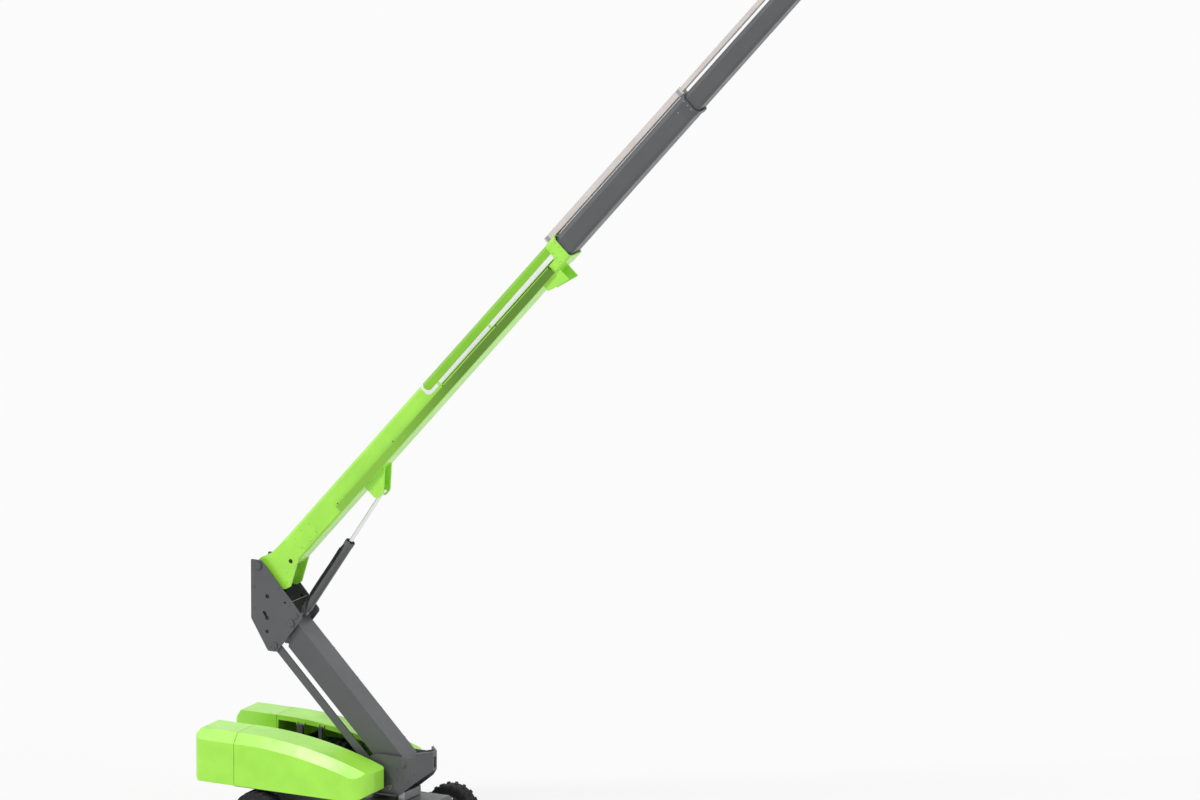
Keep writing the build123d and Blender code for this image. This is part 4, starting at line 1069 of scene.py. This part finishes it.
def add_camera():
    """Camera far away on the photograph's line of sight, with its framing."""
    right = Vector((math.cos(VIEW_AZIMUTH), math.sin(VIEW_AZIMUTH), 0))
    back = Vector((
        math.sin(VIEW_AZIMUTH) * math.cos(VIEW_HEIGHT),
        -math.cos(VIEW_AZIMUTH) * math.cos(VIEW_HEIGHT),
        math.sin(VIEW_HEIGHT),
    ))
    up = back.cross(right)
    centre = GROUND.translation + right * VIEW_ASIDE + up * VIEW_ABOVE
    camera = bpy.data.objects.new("camera", bpy.data.cameras.new("camera"))
    bpy.context.scene.collection.objects.link(camera)
    camera.data.sensor_width = SENSOR
    camera.data.lens = SENSOR * VIEW_DISTANCE / VIEW_WIDTH
    camera.data.clip_start = 1.0
    camera.data.clip_end = 2000.0
    aim(camera, centre + back * VIEW_DISTANCE, centre)
    bpy.context.scene.camera = camera


def seen_white(tree):
    """1 for camera, glossy and transmission rays."""
    path = tree.nodes.new("ShaderNodeLightPath")
    seen = path.outputs["Is Camera Ray"]
    for name in ("Is Glossy Ray", "Is Transmission Ray"):
        step = tree.nodes.new("ShaderNodeMath")
        step.operation = "MAXIMUM"
        tree.links.new(seen, step.inputs[0])
        tree.links.new(path.outputs[name], step.inputs[1])
        seen = step.outputs[0]
    return seen


def add_world():
    """White where it is seen, and a plain level of light on the machine."""
    world = bpy.data.worlds.new("studio")
    world.use_nodes = True
    bpy.context.scene.world = world
    tree = world.node_tree
    level = tree.nodes.new("ShaderNodeMapRange")
    level.inputs["To Min"].default_value = WORLD_LEVEL
    level.inputs["To Max"].default_value = 1.0
    tree.links.new(seen_white(tree), level.inputs["Value"])
    background = tree.nodes["Background"]
    background.inputs["Color"].default_value = (1, 1, 1, 1)
    tree.links.new(level.outputs[0], background.inputs["Strength"])


def add_floor():
    """A pale floor: nearly white where it is seen, with the machine's shadow on it."""
    bpy.ops.mesh.primitive_plane_add(size=FLOOR_SIZE, location=(0, 0, -0.0005))
    floor = bpy.context.object
    floor.name = "floor"
    tree = Tree("floor")
    tree.put({"Base Color": (0.82, 0.82, 0.82, 1.0), "Roughness": 0.9})
    glow = tree.add("ShaderNodeEmission", {"Color": (1, 1, 1, 1), "Strength": 1.0})
    seen = seen_white(tree.material.node_tree)
    share = tree.add("ShaderNodeMath", {0: seen, 1: FLOOR_GLOW}, operation="MULTIPLY")
    mixed = tree.add("ShaderNodeMixShader", {"Fac": share.outputs[0]})
    tree.links.new(tree.shader.outputs[0], mixed.inputs[1])
    tree.links.new(glow.outputs[0], mixed.inputs[2])
    tree.links.new(mixed.outputs[0], tree.nodes["Material Output"].inputs["Surface"])
    floor.data.materials.append(tree.material)


def add_sun(name, strength, azimuth, height, softness):
    """Soft lamp, with its direction and softness in degrees."""
    sun = bpy.data.objects.new(name, bpy.data.lights.new(name, "SUN"))
    bpy.context.scene.collection.objects.link(sun)
    sun.data.energy = strength
    sun.data.angle = math.radians(softness)
    a, h = math.radians(azimuth), math.radians(height)
    aim(sun, (30 * math.sin(a) * math.cos(h), -30 * math.cos(a) * math.cos(h), 30 * math.sin(h)), (0, 0, 0))


bpy.context.scene.view_settings.view_transform = "Standard"
dress_frame()
add_wheels()
add_boom()
add_sections()
add_carrier_bands()
add_knuckle()
add_riser()
add_lift_cylinder()
add_hood_details()
add_engine_details()
add_ground_controls()
add_turntable_details()
add_chassis_details()
add_platform()
add_jib()
add_camera()
add_world()
add_floor()
add_sun("key", strength=1.5, azimuth=-25, height=50, softness=12)
add_sun("fill", strength=0.5, azimuth=80, height=25, softness=30)
